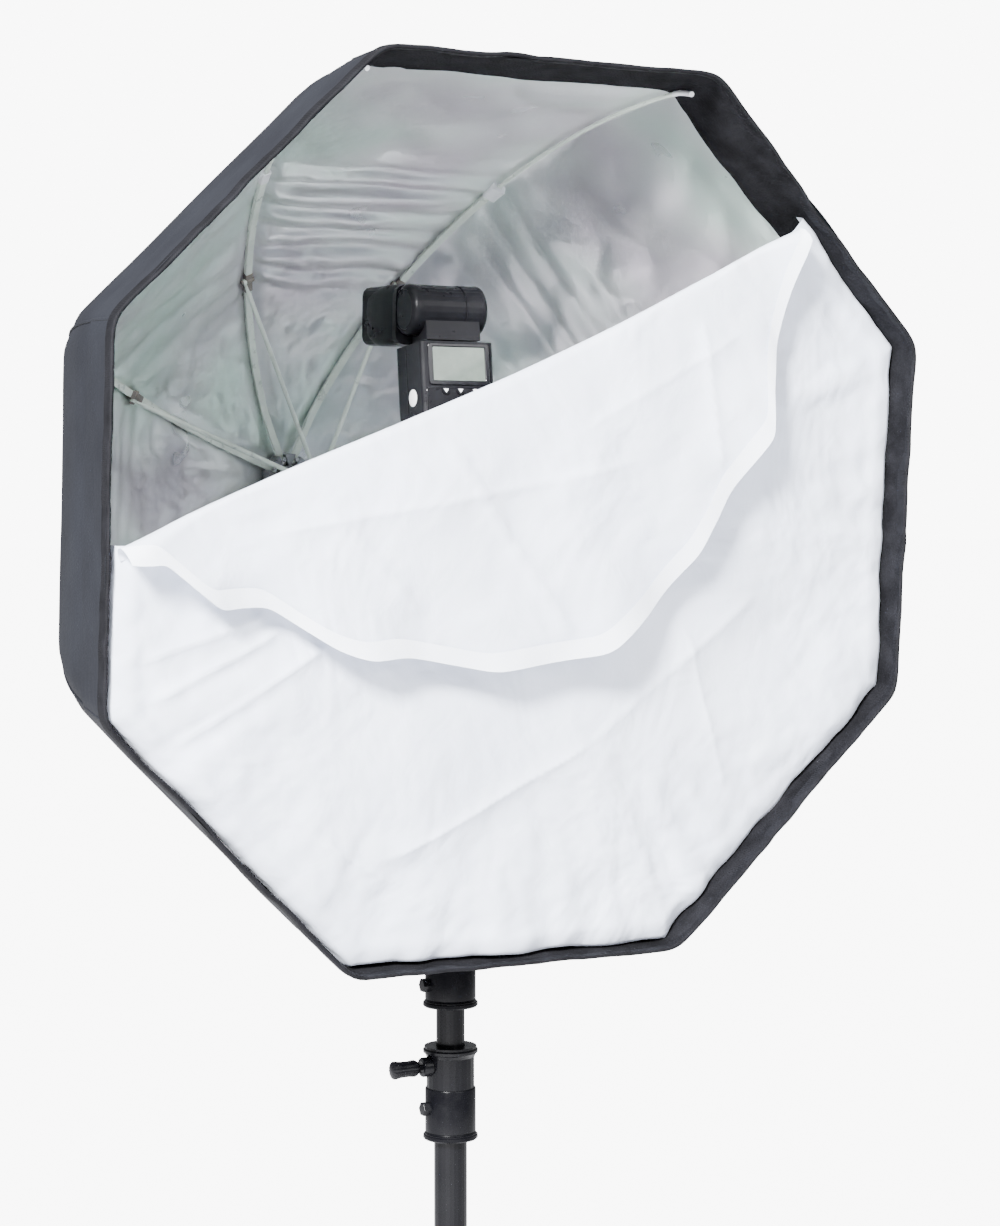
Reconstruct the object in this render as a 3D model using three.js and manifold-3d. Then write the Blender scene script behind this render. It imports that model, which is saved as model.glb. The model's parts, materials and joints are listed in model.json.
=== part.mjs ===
// Folding umbrella softbox with a flash, on a swivel bracket and a light stand.
// Millimetres, +Z up, mouth of the softbox towards -Y, origin on the floor below the middle.

import * as THREE from 'three';
import { mergeVertices } from 'three/addons/utils/BufferGeometryUtils.js';
import Module from 'manifold-3d';

const wasm = await Module();
wasm.setup();

// ---------- driving dimensions ----------

const STAND_Y = -108.1;          // stand axis, so that the whole object is centred on the origin
const PIVOT_Z = 1203;            // tilt pivot above the floor
const TILT = 4.55;               // degrees, mouth turned down
const SHAFT_ABOVE_PIVOT = 40;
const MOUTH_AHEAD = 156.3;       // from the tilt pivot forward to the mouth plane, along the shaft
const FLASH_LEAN = -10.5;        // degrees, flash against the shaft's square
const GAP = 0.3;

const MOUTH_RADIUS = 400;        // to the corners of the octagon
const BAND_DEPTH = 66.7;
const BAND_BACK_RADIUS = 393.5;
const CLOTH = 1.5;
const DOME_RADIUS = 396;
const DOME_DEPTH = 525;
const DOME_POWER = 1.85;
const RIB_COUNT = 8;
const FIRST_RIB_ANGLE = 112.5;   // degrees, seen from the front
const RIB_TIP_DEPTH = 50;
const RIB_WIDTH = 5;
const RIB_INSET = 5.6;
const SHAFT_RADIUS = 5.5;
const RIB_PIVOT = { r: 13, a: 512 };
const STRETCHER_JOINT = { r: 204, a: 435.5 };
const RUNNER_PIVOT = { r: 15, a: 425 };
const STRETCHER_ASIDE = 4.6;
const SLOT = { half: 30, front: 72, back: 240, top: -200 };   // opening in the canopy for the stand
const CROWN = { r: 22, front: 503, back: 519, slotFrom: 9.6, slotHalf: 2.9 };
const RUNNER = { r: 19, sleeve: 9.5, front: 392, back: 434, slotFrom: 11.2, slotHalf: 2.1 };
const SHAFT = { front: 57, grip: 7, gripBack: 80, back: 533.6 };

const LOWER_TUBE = { r: 14.5, bore: 13, bottom: 105, top: 769 };
const MIDDLE_TUBE = { r: 12.5, bore: 11, bottom: 150, top: 880 };
const UPPER_TUBE = { r: 10.5, bore: 9, bottom: 178, top: 1141 };
const SPIGOT = { r: 8, top: 1176 };
const LEG_PIVOT = { r: 44, z: 480 };
const BRACE_PIVOT_RADIUS = 30;
const LEG_SPREAD = 39.4;         // degrees from upright
const LEG_LENGTH = 606;
const BRACE_JOINT_ON_LEG = 333;
const BRACE_LENGTH = 275;
const LEG_ANGLES = [90, 210, 330];
const COLLAR_RADIUS = 21;
const LOWER_COLLAR = { z0: 687, z1: 769, knobZ: 752 };
const UPPER_COLLAR = { z0: 804, z1: 876, knobZ: 861 };
const LEG_HUB = { r: 22, z0: 462, z1: 515 };
const SCREW_HOLE = 2.9;          // radius of the holes that thumb screws pass through
const BOLT_HOLE = 3.3;

// ---------- materials ----------

function material(color, roughness, metalness) {
  return new THREE.MeshStandardMaterial({ color, roughness, metalness });
}

const silverCloth = material(0xb4b6b4, 0.4, 0.3);
const blackCloth = material(0x24262b, 0.85, 0);
const whiteCloth = material(0xf2f4f8, 0.8, 0);
const rodFinish = material(0xc9cfc4, 0.5, 0.2);
const darkMetal = material(0x2b2b2f, 0.35, 0.6);
const blackPlastic = material(0x151517, 0.5, 0);
const greyPlastic = material(0x4a4c50, 0.5, 0);
const lensPlastic = material(0xdfe2e0, 0.2, 0);
const screenGlass = material(0x6c756c, 0.2, 0);
const blackSatin = material(0x101013, 0.35, 0.3);
const rubber = material(0x18181a, 0.9, 0);

// ---------- geometry helpers ----------

function signedVolume(geometry) {
  const position = geometry.attributes.position;
  const index = geometry.index;
  const [a, b, c] = [new THREE.Vector3(), new THREE.Vector3(), new THREE.Vector3()];
  let volume = 0;
  for (let i = 0; i < index.count; i += 3) {
    a.fromBufferAttribute(position, index.getX(i));
    b.fromBufferAttribute(position, index.getX(i + 1));
    c.fromBufferAttribute(position, index.getX(i + 2));
    volume += a.dot(b.cross(c)) / 6;
  }
  return volume;
}

// One shared vertex per point, and faces that point out.
function closed(geometry) {
  const plain = geometry.clone();
  plain.deleteAttribute('normal');
  plain.deleteAttribute('uv');
  const merged = mergeVertices(plain, 1e-3);
  if (signedVolume(merged) < 0) {
    const order = merged.index.array;
    for (let i = 0; i < order.length; i += 3) {
      [order[i + 1], order[i + 2]] = [order[i + 2], order[i + 1]];
    }
  }
  return merged;
}

function solid(geometry) {
  const merged = closed(geometry);
  return new wasm.Manifold(new wasm.Mesh({
    numProp: 3,
    vertProperties: new Float32Array(merged.attributes.position.array),
    triVerts: new Uint32Array(merged.index.array),
  }));
}

function fromSolid(manifold) {
  const mesh = manifold.getMesh();
  const geometry = new THREE.BufferGeometry();
  geometry.setAttribute('position', new THREE.BufferAttribute(new Float32Array(mesh.vertProperties), 3));
  geometry.setIndex(new THREE.BufferAttribute(new Uint32Array(mesh.triVerts), 1));
  geometry.computeVertexNormals();
  return geometry;
}

function joined(...geometries) {
  return fromSolid(geometries.map(solid).reduce((all, next) => all.add(next)));
}

function cut(geometry, ...tools) {
  return fromSolid(tools.map(solid).reduce((rest, tool) => rest.subtract(tool), solid(geometry)));
}

function block(x0, x1, y0, y1, z0, z1) {
  const box = new THREE.BoxGeometry(x1 - x0, y1 - y0, z1 - z0);
  return box.translate((x0 + x1) / 2, (y0 + y1) / 2, (z0 + z1) / 2);
}

// A turned solid from [radius, height] points, about Z.
function turned(points, sides = 20) {
  const profile = points.map(([r, z]) => new THREE.Vector2(r, z));
  return closed(new THREE.LatheGeometry(profile, sides).rotateX(Math.PI / 2));
}

function disc(radius, z0, z1, sides = 20) {
  return turned([[0, z0], [radius, z0], [radius, z1], [0, z1]], sides);
}

function tube(outer, inner, z0, z1, sides = 20) {
  return turned([[inner, z0], [outer, z0], [outer, z1], [inner, z1], [inner, z0]], sides);
}

const alongX = (geometry) => geometry.rotateY(Math.PI / 2);
const alongY = (geometry) => geometry.rotateX(-Math.PI / 2);

// A closed outline in x and y, drawn out by depth along z about z = 0.
function plate(outline, depth) {
  const shape = new THREE.Shape(outline.map(([x, y]) => new THREE.Vector2(x, y)));
  return new THREE.ExtrudeGeometry(shape, { depth, bevelEnabled: false }).translate(0, 0, -depth / 2);
}

function roundedOutline(halfX, halfY, radius, steps = 3) {
  const points = [];
  const corners = [[1, 1, 0], [-1, 1, 90], [-1, -1, 180], [1, -1, 270]];
  for (const [sx, sy, start] of corners) {
    for (let i = 0; i <= steps; i += 1) {
      const angle = THREE.MathUtils.degToRad(start + (90 * i) / steps);
      const x = sx * (halfX - radius) + radius * Math.cos(angle);
      const y = sy * (halfY - radius) + radius * Math.sin(angle);
      points.push([x, y]);
    }
  }
  return points;
}

function add(group, name, geometry, finish) {
  const mesh = new THREE.Mesh(geometry, finish);
  mesh.name = name;
  group.add(mesh);
  return mesh;
}

function subgroup(parent, x = 0, y = 0, z = 0) {
  const group = new THREE.Group();
  group.position.set(x, y, z);
  parent.add(group);
  return group;
}

const degrees = THREE.MathUtils.degToRad;

// A thumb screw that points out along +X, with its stem starting at x = 0.
function thumbScrew(stem, knob) {
  const profile = [[0, 0], [2.5, 0], [2.5, stem], [6.5, stem], [7.5, stem + 4], [6.8, stem + 8],
    [8, stem + knob - 3], [6, stem + knob], [0, stem + knob]];
  return alongX(turned(profile, 12));
}

// ---------- umbrella: shapes in its own frame, x right, y back from the mouth plane, z up ----------

function domeRadius(depth) {
  return DOME_RADIUS * Math.sqrt(Math.max(0, 1 - (depth / DOME_DEPTH) ** DOME_POWER));
}

function domeDepth(radius) {
  return DOME_DEPTH * (1 - (radius / DOME_RADIUS) ** 2) ** (1 / DOME_POWER);
}

// Point and outward direction of the dome's section at a depth, in the plane of a rib.
function domePoint(depth, inset) {
  const step = 0.01;
  const along = [domeRadius(depth + step) - domeRadius(depth - step), 2 * step];
  const length = Math.hypot(...along);
  const out = [along[1] / length, -along[0] / length];
  return [domeRadius(depth) - inset * out[0], depth - inset * out[1]];
}

function ribAngle(index) {
  return degrees(FIRST_RIB_ANGLE - (index * 360) / RIB_COUNT);
}

// A group whose x axis runs out along a rib, y back from the mouth.
function radialGroup(parent, index) {
  const group = subgroup(parent);
  group.rotation.y = -ribAngle(index);
  return group;
}

// An eight-sided ring skin through [radius, depth] sections, closed on itself.
function octagonSkin(sections) {
  const positions = [];
  for (const [radius, depth] of sections) {
    for (let i = 0; i < RIB_COUNT; i += 1) {
      const angle = ribAngle(i);
      positions.push(radius * Math.cos(angle), depth, radius * Math.sin(angle));
    }
  }
  const triangles = [];
  for (let s = 0; s < sections.length; s += 1) {
    const next = (s + 1) % sections.length;
    for (let i = 0; i < RIB_COUNT; i += 1) {
      const j = (i + 1) % RIB_COUNT;
      const [a, b] = [s * RIB_COUNT + i, s * RIB_COUNT + j];
      const [c, d] = [next * RIB_COUNT + j, next * RIB_COUNT + i];
      triangles.push(a, b, c, a, c, d);
    }
  }
  const geometry = new THREE.BufferGeometry();
  geometry.setAttribute('position', new THREE.BufferAttribute(new Float32Array(positions), 3));
  geometry.setIndex(triangles);
  return closed(geometry);
}

function canopyGeometry() {
  const radii = [16, 40, 80, 125, 170, 215, 255, 290, 320, 345, 366];
  const depths = [domeDepth(9), ...radii.map(domeDepth), 110, BAND_DEPTH + GAP];
  const outer = depths.map((depth) => domePoint(depth, 0));
  const inner = depths.map((depth) => domePoint(depth, CLOTH)).reverse();
  const slot = block(-SLOT.half, SLOT.half, SLOT.front, SLOT.back, -DOME_RADIUS, SLOT.top);
  return cut(octagonSkin([...outer, ...inner]), slot);
}

function bandGeometry() {
  return octagonSkin([[MOUTH_RADIUS, 0], [BAND_BACK_RADIUS, BAND_DEPTH],
    [BAND_BACK_RADIUS - CLOTH, BAND_DEPTH], [MOUTH_RADIUS - CLOTH, 0]]);
}

function rimTapeGeometry() {
  const [front, back] = [-2.5, -GAP];
  return octagonSkin([[MOUTH_RADIUS, front], [MOUTH_RADIUS, back],
    [MOUTH_RADIUS - 3, back], [MOUTH_RADIUS - 3, front]]);
}

function ribGeometry() {
  const thick = 2;
  const depths = [515, 500, 478, 450, 415, 370, 315, 250, 180, 110, RIB_TIP_DEPTH];
  const outer = depths.map((depth) => domePoint(depth, RIB_INSET - thick));
  const inner = depths.map((depth) => domePoint(depth, RIB_INSET + thick));
  const root = [[RIB_PIVOT.r - 2.5, RIB_PIVOT.a - 2.5], [RIB_PIVOT.r - 2.5, RIB_PIVOT.a + 2.5]];
  return plate([...root, ...outer, ...inner.reverse()], RIB_WIDTH);
}

function stretcherGeometry() {
  const length = Math.hypot(STRETCHER_JOINT.r - RUNNER_PIVOT.r, STRETCHER_JOINT.a - RUNNER_PIVOT.a);
  return block(-2, length + 1.5, -1.5, 1.5, -1.5, 1.5);
}

// Slots for hinged rods, cut in from the edge of a round hub that runs along y.
function hubSlots(inner, outer, y0, y1, halfWidth, aside) {
  const cuts = [];
  for (let i = 0; i < RIB_COUNT; i += 1) {
    cuts.push(block(inner, outer, y0, y1, aside - halfWidth, aside + halfWidth).rotateY(-ribAngle(i)));
  }
  return cuts;
}

function buildHubs(group) {
  const bore = SHAFT_RADIUS + GAP;
  const crown = alongY(tube(CROWN.r, bore, CROWN.front, CROWN.back, 24));
  const crownSlots = hubSlots(CROWN.slotFrom, CROWN.r + 8, CROWN.front - 3, CROWN.back + 3,
    CROWN.slotHalf, 0);
  add(group, 'crown', cut(crown, ...crownSlots), darkMetal);
  const { front, back, sleeve } = RUNNER;
  const flange = front + 25;
  const runner = alongY(turned([[bore, front], [sleeve, front], [sleeve, flange], [RUNNER.r, flange + 2],
    [RUNNER.r, back - 3], [12, back], [bore, back], [bore, front]], 24));
  const runnerSlots = hubSlots(RUNNER.slotFrom, RUNNER.r + 11, front + 8, back + 6, RUNNER.slotHalf,
    STRETCHER_ASIDE);
  add(group, 'runner', cut(runner, ...runnerSlots), darkMetal);
  const ferrule = turned([[0, 534], [bore, 534], [bore, 526], [15, 526], [14, 531], [8, 536],
    [6.5, 543], [0, 545]], 16);
  add(group, 'ferrule', alongY(ferrule), blackPlastic);
  const shaft = turned([[0, SHAFT.front], [SHAFT.grip - 1, SHAFT.front], [SHAFT.grip, SHAFT.front + 3],
    [SHAFT.grip, SHAFT.gripBack], [SHAFT_RADIUS, SHAFT.gripBack + 1], [SHAFT_RADIUS, SHAFT.back],
    [0, SHAFT.back]], 16);
  add(group, 'shaft', alongY(shaft), darkMetal);
}

function buildRibs(group) {
  const run = STRETCHER_JOINT.r - RUNNER_PIVOT.r;
  const rise = STRETCHER_JOINT.a - RUNNER_PIVOT.a;
  for (let i = 0; i < RIB_COUNT; i += 1) {
    const radial = radialGroup(group, i);
    add(radial, `rib_${i + 1}`, ribGeometry(), rodFinish);
    const stretcher = add(radial, `stretcher_${i + 1}`, stretcherGeometry(), rodFinish);
    stretcher.position.set(RUNNER_PIVOT.r, RUNNER_PIVOT.a, STRETCHER_ASIDE);
    stretcher.rotation.z = Math.atan2(rise, run);
  }
}

// The front cloth is cut by a chord from the middle of the left side to the middle of the
// upper right side: one part stays in the mouth, the other hangs down in front of it.
const FRONT_RADIUS = MOUTH_RADIUS - CLOTH - 2;
const FRONT_APOTHEM = FRONT_RADIUS * Math.cos(Math.PI / RIB_COUNT);
const CHORD_TURN = degrees(22.5);
const CHORD_DISTANCE = FRONT_RADIUS * Math.cos(CHORD_TURN) * Math.cos(degrees(67.5));
const CHORD_HALF = FRONT_APOTHEM * Math.cos(CHORD_TURN);
const FLAP_HANG = 4.92;          // degrees, off the mouth plane
const FRONT_DEPTH = 5;

// Corners of the front cloth as [along the chord, away from the centre] pairs.
function frontCorner(degreesFromChordNormal) {
  const angle = degrees(degreesFromChordNormal);
  return [FRONT_RADIUS * Math.sin(angle), FRONT_RADIUS * Math.cos(angle) - CHORD_DISTANCE];
}

function buildFrontCloth(group) {
  // x along the chord, y away from the mouth's centre, z towards the front
  const chord = subgroup(group);
  const toFront = new THREE.Matrix4().makeBasis(
    new THREE.Vector3(Math.cos(CHORD_TURN), 0, Math.sin(CHORD_TURN)),
    new THREE.Vector3(-Math.sin(CHORD_TURN), 0, Math.cos(CHORD_TURN)),
    new THREE.Vector3(0, -1, 0),
  );
  chord.quaternion.setFromRotationMatrix(toFront);
  chord.position.set(-Math.sin(CHORD_TURN), 0, Math.cos(CHORD_TURN)).multiplyScalar(CHORD_DISTANCE);
  const kept = [90, 135, 180, 225, 270].map(frontCorner);
  const diffuser = plate([[-CHORD_HALF, 0], ...kept.reverse(), [CHORD_HALF, 0]], CLOTH);
  add(chord, 'diffuser', diffuser.translate(0, 0, -FRONT_DEPTH), whiteCloth);
  const flap = subgroup(chord, 0, 0, -1);
  flap.rotation.x = -degrees(FLAP_HANG);
  const turnedDown = [-45, 0, 45].map(frontCorner).map(([x, y]) => [x, -y]);
  const outline = [[-CHORD_HALF + 2, -2], ...turnedDown, [CHORD_HALF - 2, -2]];
  add(flap, 'diffuser_flap', plate(outline, CLOTH), whiteCloth);
}

function buildUmbrella(parent) {
  const group = subgroup(parent, 0, -MOUTH_AHEAD, SHAFT_ABOVE_PIVOT);
  buildHubs(group);
  buildRibs(group);
  add(group, 'canopy', canopyGeometry(), silverCloth);
  add(group, 'side_band', bandGeometry(), blackCloth);
  add(group, 'rim_tape', rimTapeGeometry(), blackCloth);
  buildFrontCloth(group);
}

// ---------- bracket: origin at the tilt pivot ----------

const SHOE_BASE = 23.5;          // top of the shoe's seat above the shaft
const SOCKET = { r: 15, bore: 8.4, bottom: -62, floor: -26, top: -20, screwZ: -44 };
const EAR = { r: 14, inner: 0.4, outer: 12 };

function buildBracketBase(group) {
  const { r, bore, bottom, floor, top, screwZ } = SOCKET;
  const body = turned([[bore, bottom], [r, bottom], [r, top], [0, top], [0, floor], [bore, floor],
    [bore, bottom]], 24);
  const ear = joined(alongX(disc(EAR.r, -EAR.outer, -EAR.inner)),
    block(-EAR.outer, -EAR.inner, -12, 12, top - 1, 0));
  const boltHole = alongX(disc(BOLT_HOLE, -20, 20, 16));
  const screwHole = alongX(disc(SCREW_HOLE, 5, 20, 16)).translate(0, 0, screwZ);
  add(group, 'bracket_socket', cut(joined(body, ear), boltHole, screwHole), blackPlastic);
  const screw = add(group, 'socket_screw', thumbScrew(7, 20), blackPlastic);
  screw.position.set(9, 0, screwZ);
  const bolt = alongX(turned([[0, -17], [5.5, -17], [5.5, -12.5], [3, -12.5], [3, 14], [0, 14]], 12));
  const hub = alongX(disc(9, 12.8, 24));
  const arm = block(16.5, 22, -5, 5, -32, 0).rotateX(degrees(-35));
  add(group, 'tilt_lever', joined(bolt, hub, arm), blackPlastic);
}

function buildBracketHead(tilted) {
  const ear = joined(alongX(disc(EAR.r, EAR.inner, EAR.outer)),
    block(EAR.inner, EAR.outer, -12, 12, 0, 24));
  const seat = block(-11, 11, -11, 11, 8, SHOE_BASE).rotateX(degrees(FLASH_LEAN))
    .translate(0, 0, SHAFT_ABOVE_PIVOT);
  const body = block(-16, 16, -18, 18, 22, 58);
  const boltHole = alongX(disc(BOLT_HOLE, -1, 20, 16));
  const shaftHole = alongY(disc(SHAFT_RADIUS + 0.4, -30, 30, 16)).translate(0, 0, SHAFT_ABOVE_PIVOT);
  const screwHole = alongX(disc(SCREW_HOLE, -30, 0, 16)).translate(0, 0, SHAFT_ABOVE_PIVOT);
  add(tilted, 'tilt_head', cut(joined(ear, body, seat), boltHole, shaftHole, screwHole), blackPlastic);
  const screw = add(tilted, 'umbrella_screw', thumbScrew(11, 18), blackPlastic);
  screw.position.set(-6.2, 0, SHAFT_ABOVE_PIVOT);
  screw.rotation.z = Math.PI;
}

// ---------- flash: origin on the shaft's axis, +Z up through the flash ----------

const BODY = { halfX: 35, halfY: 26, corner: 5, bottom: 45.5, top: 139 };
const HEAD = { halfX: 39, front: 12, back: 80, bottom: 140, top: 192, hub: 22, hubHalf: 29, axis: 170 };
const HEAD_RISE = 8;             // degrees, the head's back end above level with the body
const BUTTONS = [
  { name: 'button_left', x: -14 },
  { name: 'button_middle', x: 0 },
  { name: 'button_right', x: 14 },
];
const BUTTON_Z = 96;
const DIAL_Z = 73;
const SCREEN = { halfX: 26, bottom: 104, top: 135 };
const LENS = { halfX: 34, halfZ: 20, deep: 3 };

function buildFlashFoot(flash) {
  const shoe = joined(block(-11.5, 11.5, -11, 11, 23.8, 25.8), block(-11.5, -9.6, -11, 11, 25, 30.2),
    block(9.6, 11.5, -11, 11, 25, 30.2), block(-10, -7.2, -11, 11, 28.5, 30.2),
    block(7.2, 10, -11, 11, 28.5, 30.2));
  add(flash, 'cold_shoe', shoe, darkMetal);
  const foot = joined(block(-9.2, 9.2, -9.5, 9.5, 26.1, 28.1), disc(6.3, 27, 39),
    block(-17, 17, -18, 18, 38, 45));
  add(flash, 'flash_foot', foot, blackPlastic);
  add(flash, 'lock_ring', tube(13, 6.8, 30.9, 37.4, 24), blackPlastic);
}

function buildFlashBody(flash) {
  const height = BODY.top - BODY.bottom;
  const front = -BODY.halfY;
  const body = plate(roundedOutline(BODY.halfX, BODY.halfY, BODY.corner), height)
    .translate(0, 0, BODY.bottom + height / 2);
  const pocket = alongY(disc(3.5, front - 5, front + 3, 12));
  const pockets = BUTTONS.map(({ x }) => pocket.clone().translate(x, 0, BUTTON_Z));
  const screenPocket = block(-SCREEN.halfX, SCREEN.halfX, front - 5, front + 1.5,
    SCREEN.bottom, SCREEN.top);
  const dialPocket = alongY(disc(11.5, front - 5, front + 2)).translate(0, 0, DIAL_Z);
  add(flash, 'flash_body', cut(body, ...pockets, screenPocket, dialPocket), blackPlastic);
  const glassHalf = SCREEN.halfX - 0.5;
  const glass = block(-glassHalf, glassHalf, front - 0.4, front + 1.2,
    SCREEN.bottom + 0.5, SCREEN.top - 0.5);
  add(flash, 'screen', glass, screenGlass);
  for (const { name, x } of BUTTONS) {
    const button = alongY(disc(3, front - 1.4, front + 1.4, 12)).translate(x, 0, BUTTON_Z);
    add(flash, name, button, greyPlastic);
  }
  const dial = alongY(disc(11, front - 1.6, front + 1.7, 24)).translate(0, 0, DIAL_Z);
  add(flash, 'control_dial', dial, greyPlastic);
}

// Everything on the head is made level and then raised about the head's axis.
function raised(geometry) {
  return geometry.translate(0, 0, -HEAD.axis).rotateX(degrees(HEAD_RISE)).translate(0, 0, HEAD.axis);
}

function buildFlashHead(flash) {
  const drum = (radius, half) => alongX(disc(radius, -half, half, 28)).translate(0, 0, HEAD.axis);
  const saddle = cut(block(-26, 26, -19, 9, 141.5, 158), drum(HEAD.hub + 0.6, 40));
  const tongue = joined(block(-13, 13, -12, 9, 143, HEAD.axis), drum(HEAD.hub - 0.8, 13));
  add(flash, 'flash_neck', joined(disc(11.4, BODY.top + GAP, 144, 24), saddle, tongue), blackPlastic);
  const middleZ = (HEAD.bottom + HEAD.top) / 2;
  const halfZ = (HEAD.top - HEAD.bottom) / 2;
  const barrel = plate(roundedOutline(HEAD.halfX, halfZ, 8), HEAD.back - HEAD.front);
  const box = alongY(barrel).translate(0, (HEAD.front + HEAD.back) / 2, middleZ);
  const throat = block(-HEAD.hubHalf, HEAD.hubHalf, 0, HEAD.front + 4, HEAD.axis - 12, HEAD.axis + HEAD.hub);
  const lensPocket = block(-LENS.halfX, LENS.halfX, HEAD.back - LENS.deep, HEAD.back + 5,
    middleZ - LENS.halfZ, middleZ + LENS.halfZ);
  const head = joined(drum(HEAD.hub, HEAD.hubHalf), raised(throat), raised(box));
  const channel = drum(HEAD.hub + 0.5, 13.4);
  add(flash, 'flash_head', cut(head, channel, raised(lensPocket)), blackPlastic);
  const [lensX, lensZ] = [LENS.halfX - 0.4, LENS.halfZ - 0.4];
  const lens = block(-lensX, lensX, HEAD.back - LENS.deep + 0.4, HEAD.back - 0.5,
    middleZ - lensZ, middleZ + lensZ);
  add(flash, 'head_lens', raised(lens), lensPlastic);
}

function buildFlash(tilted) {
  const flash = subgroup(tilted, 0, 0, SHAFT_ABOVE_PIVOT);
  flash.rotation.x = degrees(FLASH_LEAN);
  buildFlashFoot(flash);
  buildFlashBody(flash);
  buildFlashHead(flash);
}

// ---------- stand: origin on the floor, on the stand's axis ----------

function clampCollar(radius, bore, z0, z1, knobZ) {
  const lip = radius + 2;
  const body = turned([[0, z0], [lip, z0], [lip, z0 + 5], [radius, z0 + 6], [radius, z1 - 6],
    [lip, z1 - 5], [lip, z1], [0, z1]], 24);
  const boss = alongX(disc(8, -radius - 7, -radius + 3, 12)).translate(0, 0, knobZ);
  const nub = alongX(disc(6, -radius - 7, -radius + 3, 6)).translate(0, 0, knobZ - 37);
  const screwHole = alongX(disc(SCREW_HOLE, -radius - 20, -bore + 2, 12)).translate(0, 0, knobZ);
  const tubeHole = disc(bore, z0 - 5, z1 + 5, 24);
  return cut(joined(body, boss, nub), tubeHole, screwHole);
}

function buildCollar(stand, name, knobName, bore, { z0, z1, knobZ }) {
  add(stand, name, clampCollar(COLLAR_RADIUS, bore, z0, z1, knobZ), blackSatin);
  const knob = add(stand, knobName, thumbScrew(COLLAR_RADIUS - bore + 11, 25), blackPlastic);
  knob.position.set(-bore - 0.5, 0, knobZ);
  knob.rotation.z = Math.PI;
}

function buildTubes(stand) {
  const { r, bore, bottom, top } = LOWER_TUBE;
  add(stand, 'lower_tube', tube(r, bore, bottom, top, 24), blackSatin);
  const middle = MIDDLE_TUBE;
  add(stand, 'middle_tube', tube(middle.r, middle.bore, middle.bottom, middle.top, 24), blackSatin);
  const upper = UPPER_TUBE;
  const profile = [[0, upper.top - 8], [upper.bore, upper.top - 8], [upper.bore, upper.bottom],
    [upper.r, upper.bottom], [upper.r, upper.top], [SPIGOT.r, upper.top], [SPIGOT.r, SPIGOT.top],
    [0, SPIGOT.top]];
  add(stand, 'upper_tube', turned(profile, 24), blackSatin);
  buildCollar(stand, 'lower_collar', 'lower_knob', r + GAP, LOWER_COLLAR);
  buildCollar(stand, 'upper_collar', 'upper_knob', middle.r + GAP, UPPER_COLLAR);
}

// A collar with a fork towards each leg.
function hubWithForks(radius, bore, z0, z1, reach, forkZ0, forkZ1) {
  const around = (geometry) => LEG_ANGLES.map((angle) => geometry.clone().rotateZ(degrees(angle)));
  const forks = around(block(bore + 2, reach, -11, 11, forkZ0, forkZ1));
  const slots = around(block(radius + 1, reach + 20, -6.6, 6.6, forkZ0 - 20, forkZ1 + 20));
  return cut(joined(tube(radius, bore, z0, z1, 24), ...forks), ...slots);
}

function clevisBrace() {
  const arms = [-7.6, 7.6].map((y) => block(-5, 5, y - 1, y + 1, -BRACE_LENGTH - 5, -22));
  const root = block(-4, 4, -6.2, 6.2, -26, 4);
  const bridge = block(-4, 4, -8.6, 8.6, -30, -22);
  return joined(root, bridge, ...arms);
}

// A rubber foot over the end of a leg, cut flat by the floor.
function footGeometry(spread) {
  const cup = block(-7.5, 7.5, -9, 9, -LEG_LENGTH - 25, -LEG_LENGTH + 30);
  const pocket = block(-4.8, 4.8, -6.3, 6.3, -LEG_LENGTH + 17.7, -LEG_LENGTH + 60);
  const belowFloor = block(300, 500, -60, 60, -90, 0).rotateY(spread)
    .translate(-LEG_PIVOT.z * Math.sin(spread), 0, -LEG_PIVOT.z * Math.cos(spread));
  return cut(cup, pocket, belowFloor);
}

function buildLegs(stand) {
  const bore = LOWER_TUBE.r + GAP;
  const spread = degrees(LEG_SPREAD);
  const legHub = hubWithForks(LEG_HUB.r, bore, LEG_HUB.z0, LEG_HUB.z1, LEG_PIVOT.r + 6,
    LEG_PIVOT.z - 10, LEG_PIVOT.z + 10);
  add(stand, 'leg_collar', legHub, blackSatin);
  const jointRadius = LEG_PIVOT.r + BRACE_JOINT_ON_LEG * Math.sin(spread);
  const jointZ = LEG_PIVOT.z - BRACE_JOINT_ON_LEG * Math.cos(spread);
  const braceSpan = jointRadius - BRACE_PIVOT_RADIUS;
  const pivotZ = jointZ + Math.sqrt(BRACE_LENGTH ** 2 - braceSpan ** 2);
  const braceHub = hubWithForks(LEG_HUB.r, bore, pivotZ - 14, pivotZ + 16, BRACE_PIVOT_RADIUS + 6,
    pivotZ - 9, pivotZ + 9);
  add(stand, 'brace_collar', braceHub, blackSatin);
  LEG_ANGLES.forEach((angle, i) => {
    const side = subgroup(stand);
    side.rotation.z = degrees(angle);
    const leg = subgroup(side, LEG_PIVOT.r, 0, LEG_PIVOT.z);
    leg.rotation.y = -spread;
    add(leg, `leg_${i + 1}`, block(-4.5, 4.5, -6, 6, -LEG_LENGTH + 18, 8), blackSatin);
    add(leg, `foot_${i + 1}`, footGeometry(spread), rubber);
    const brace = subgroup(side, BRACE_PIVOT_RADIUS, 0, pivotZ);
    brace.rotation.y = -Math.asin(braceSpan / BRACE_LENGTH);
    add(brace, `brace_${i + 1}`, clevisBrace(), blackSatin);
  });
}

// ---------- the whole object ----------

const object = new THREE.Group();
const stand = subgroup(object, 0, STAND_Y, 0);
buildTubes(stand);
buildLegs(stand);
const pivot = subgroup(stand, 0, 0, PIVOT_Z);
buildBracketBase(pivot);
const tilted = subgroup(pivot);
tilted.rotation.x = degrees(TILT);
buildBracketHead(tilted);
buildFlash(tilted);
buildUmbrella(tilted);

export default object;
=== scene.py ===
"""Looks of a folding umbrella softbox with a flash, on a bracket and a light stand."""

import json
import math

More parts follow.
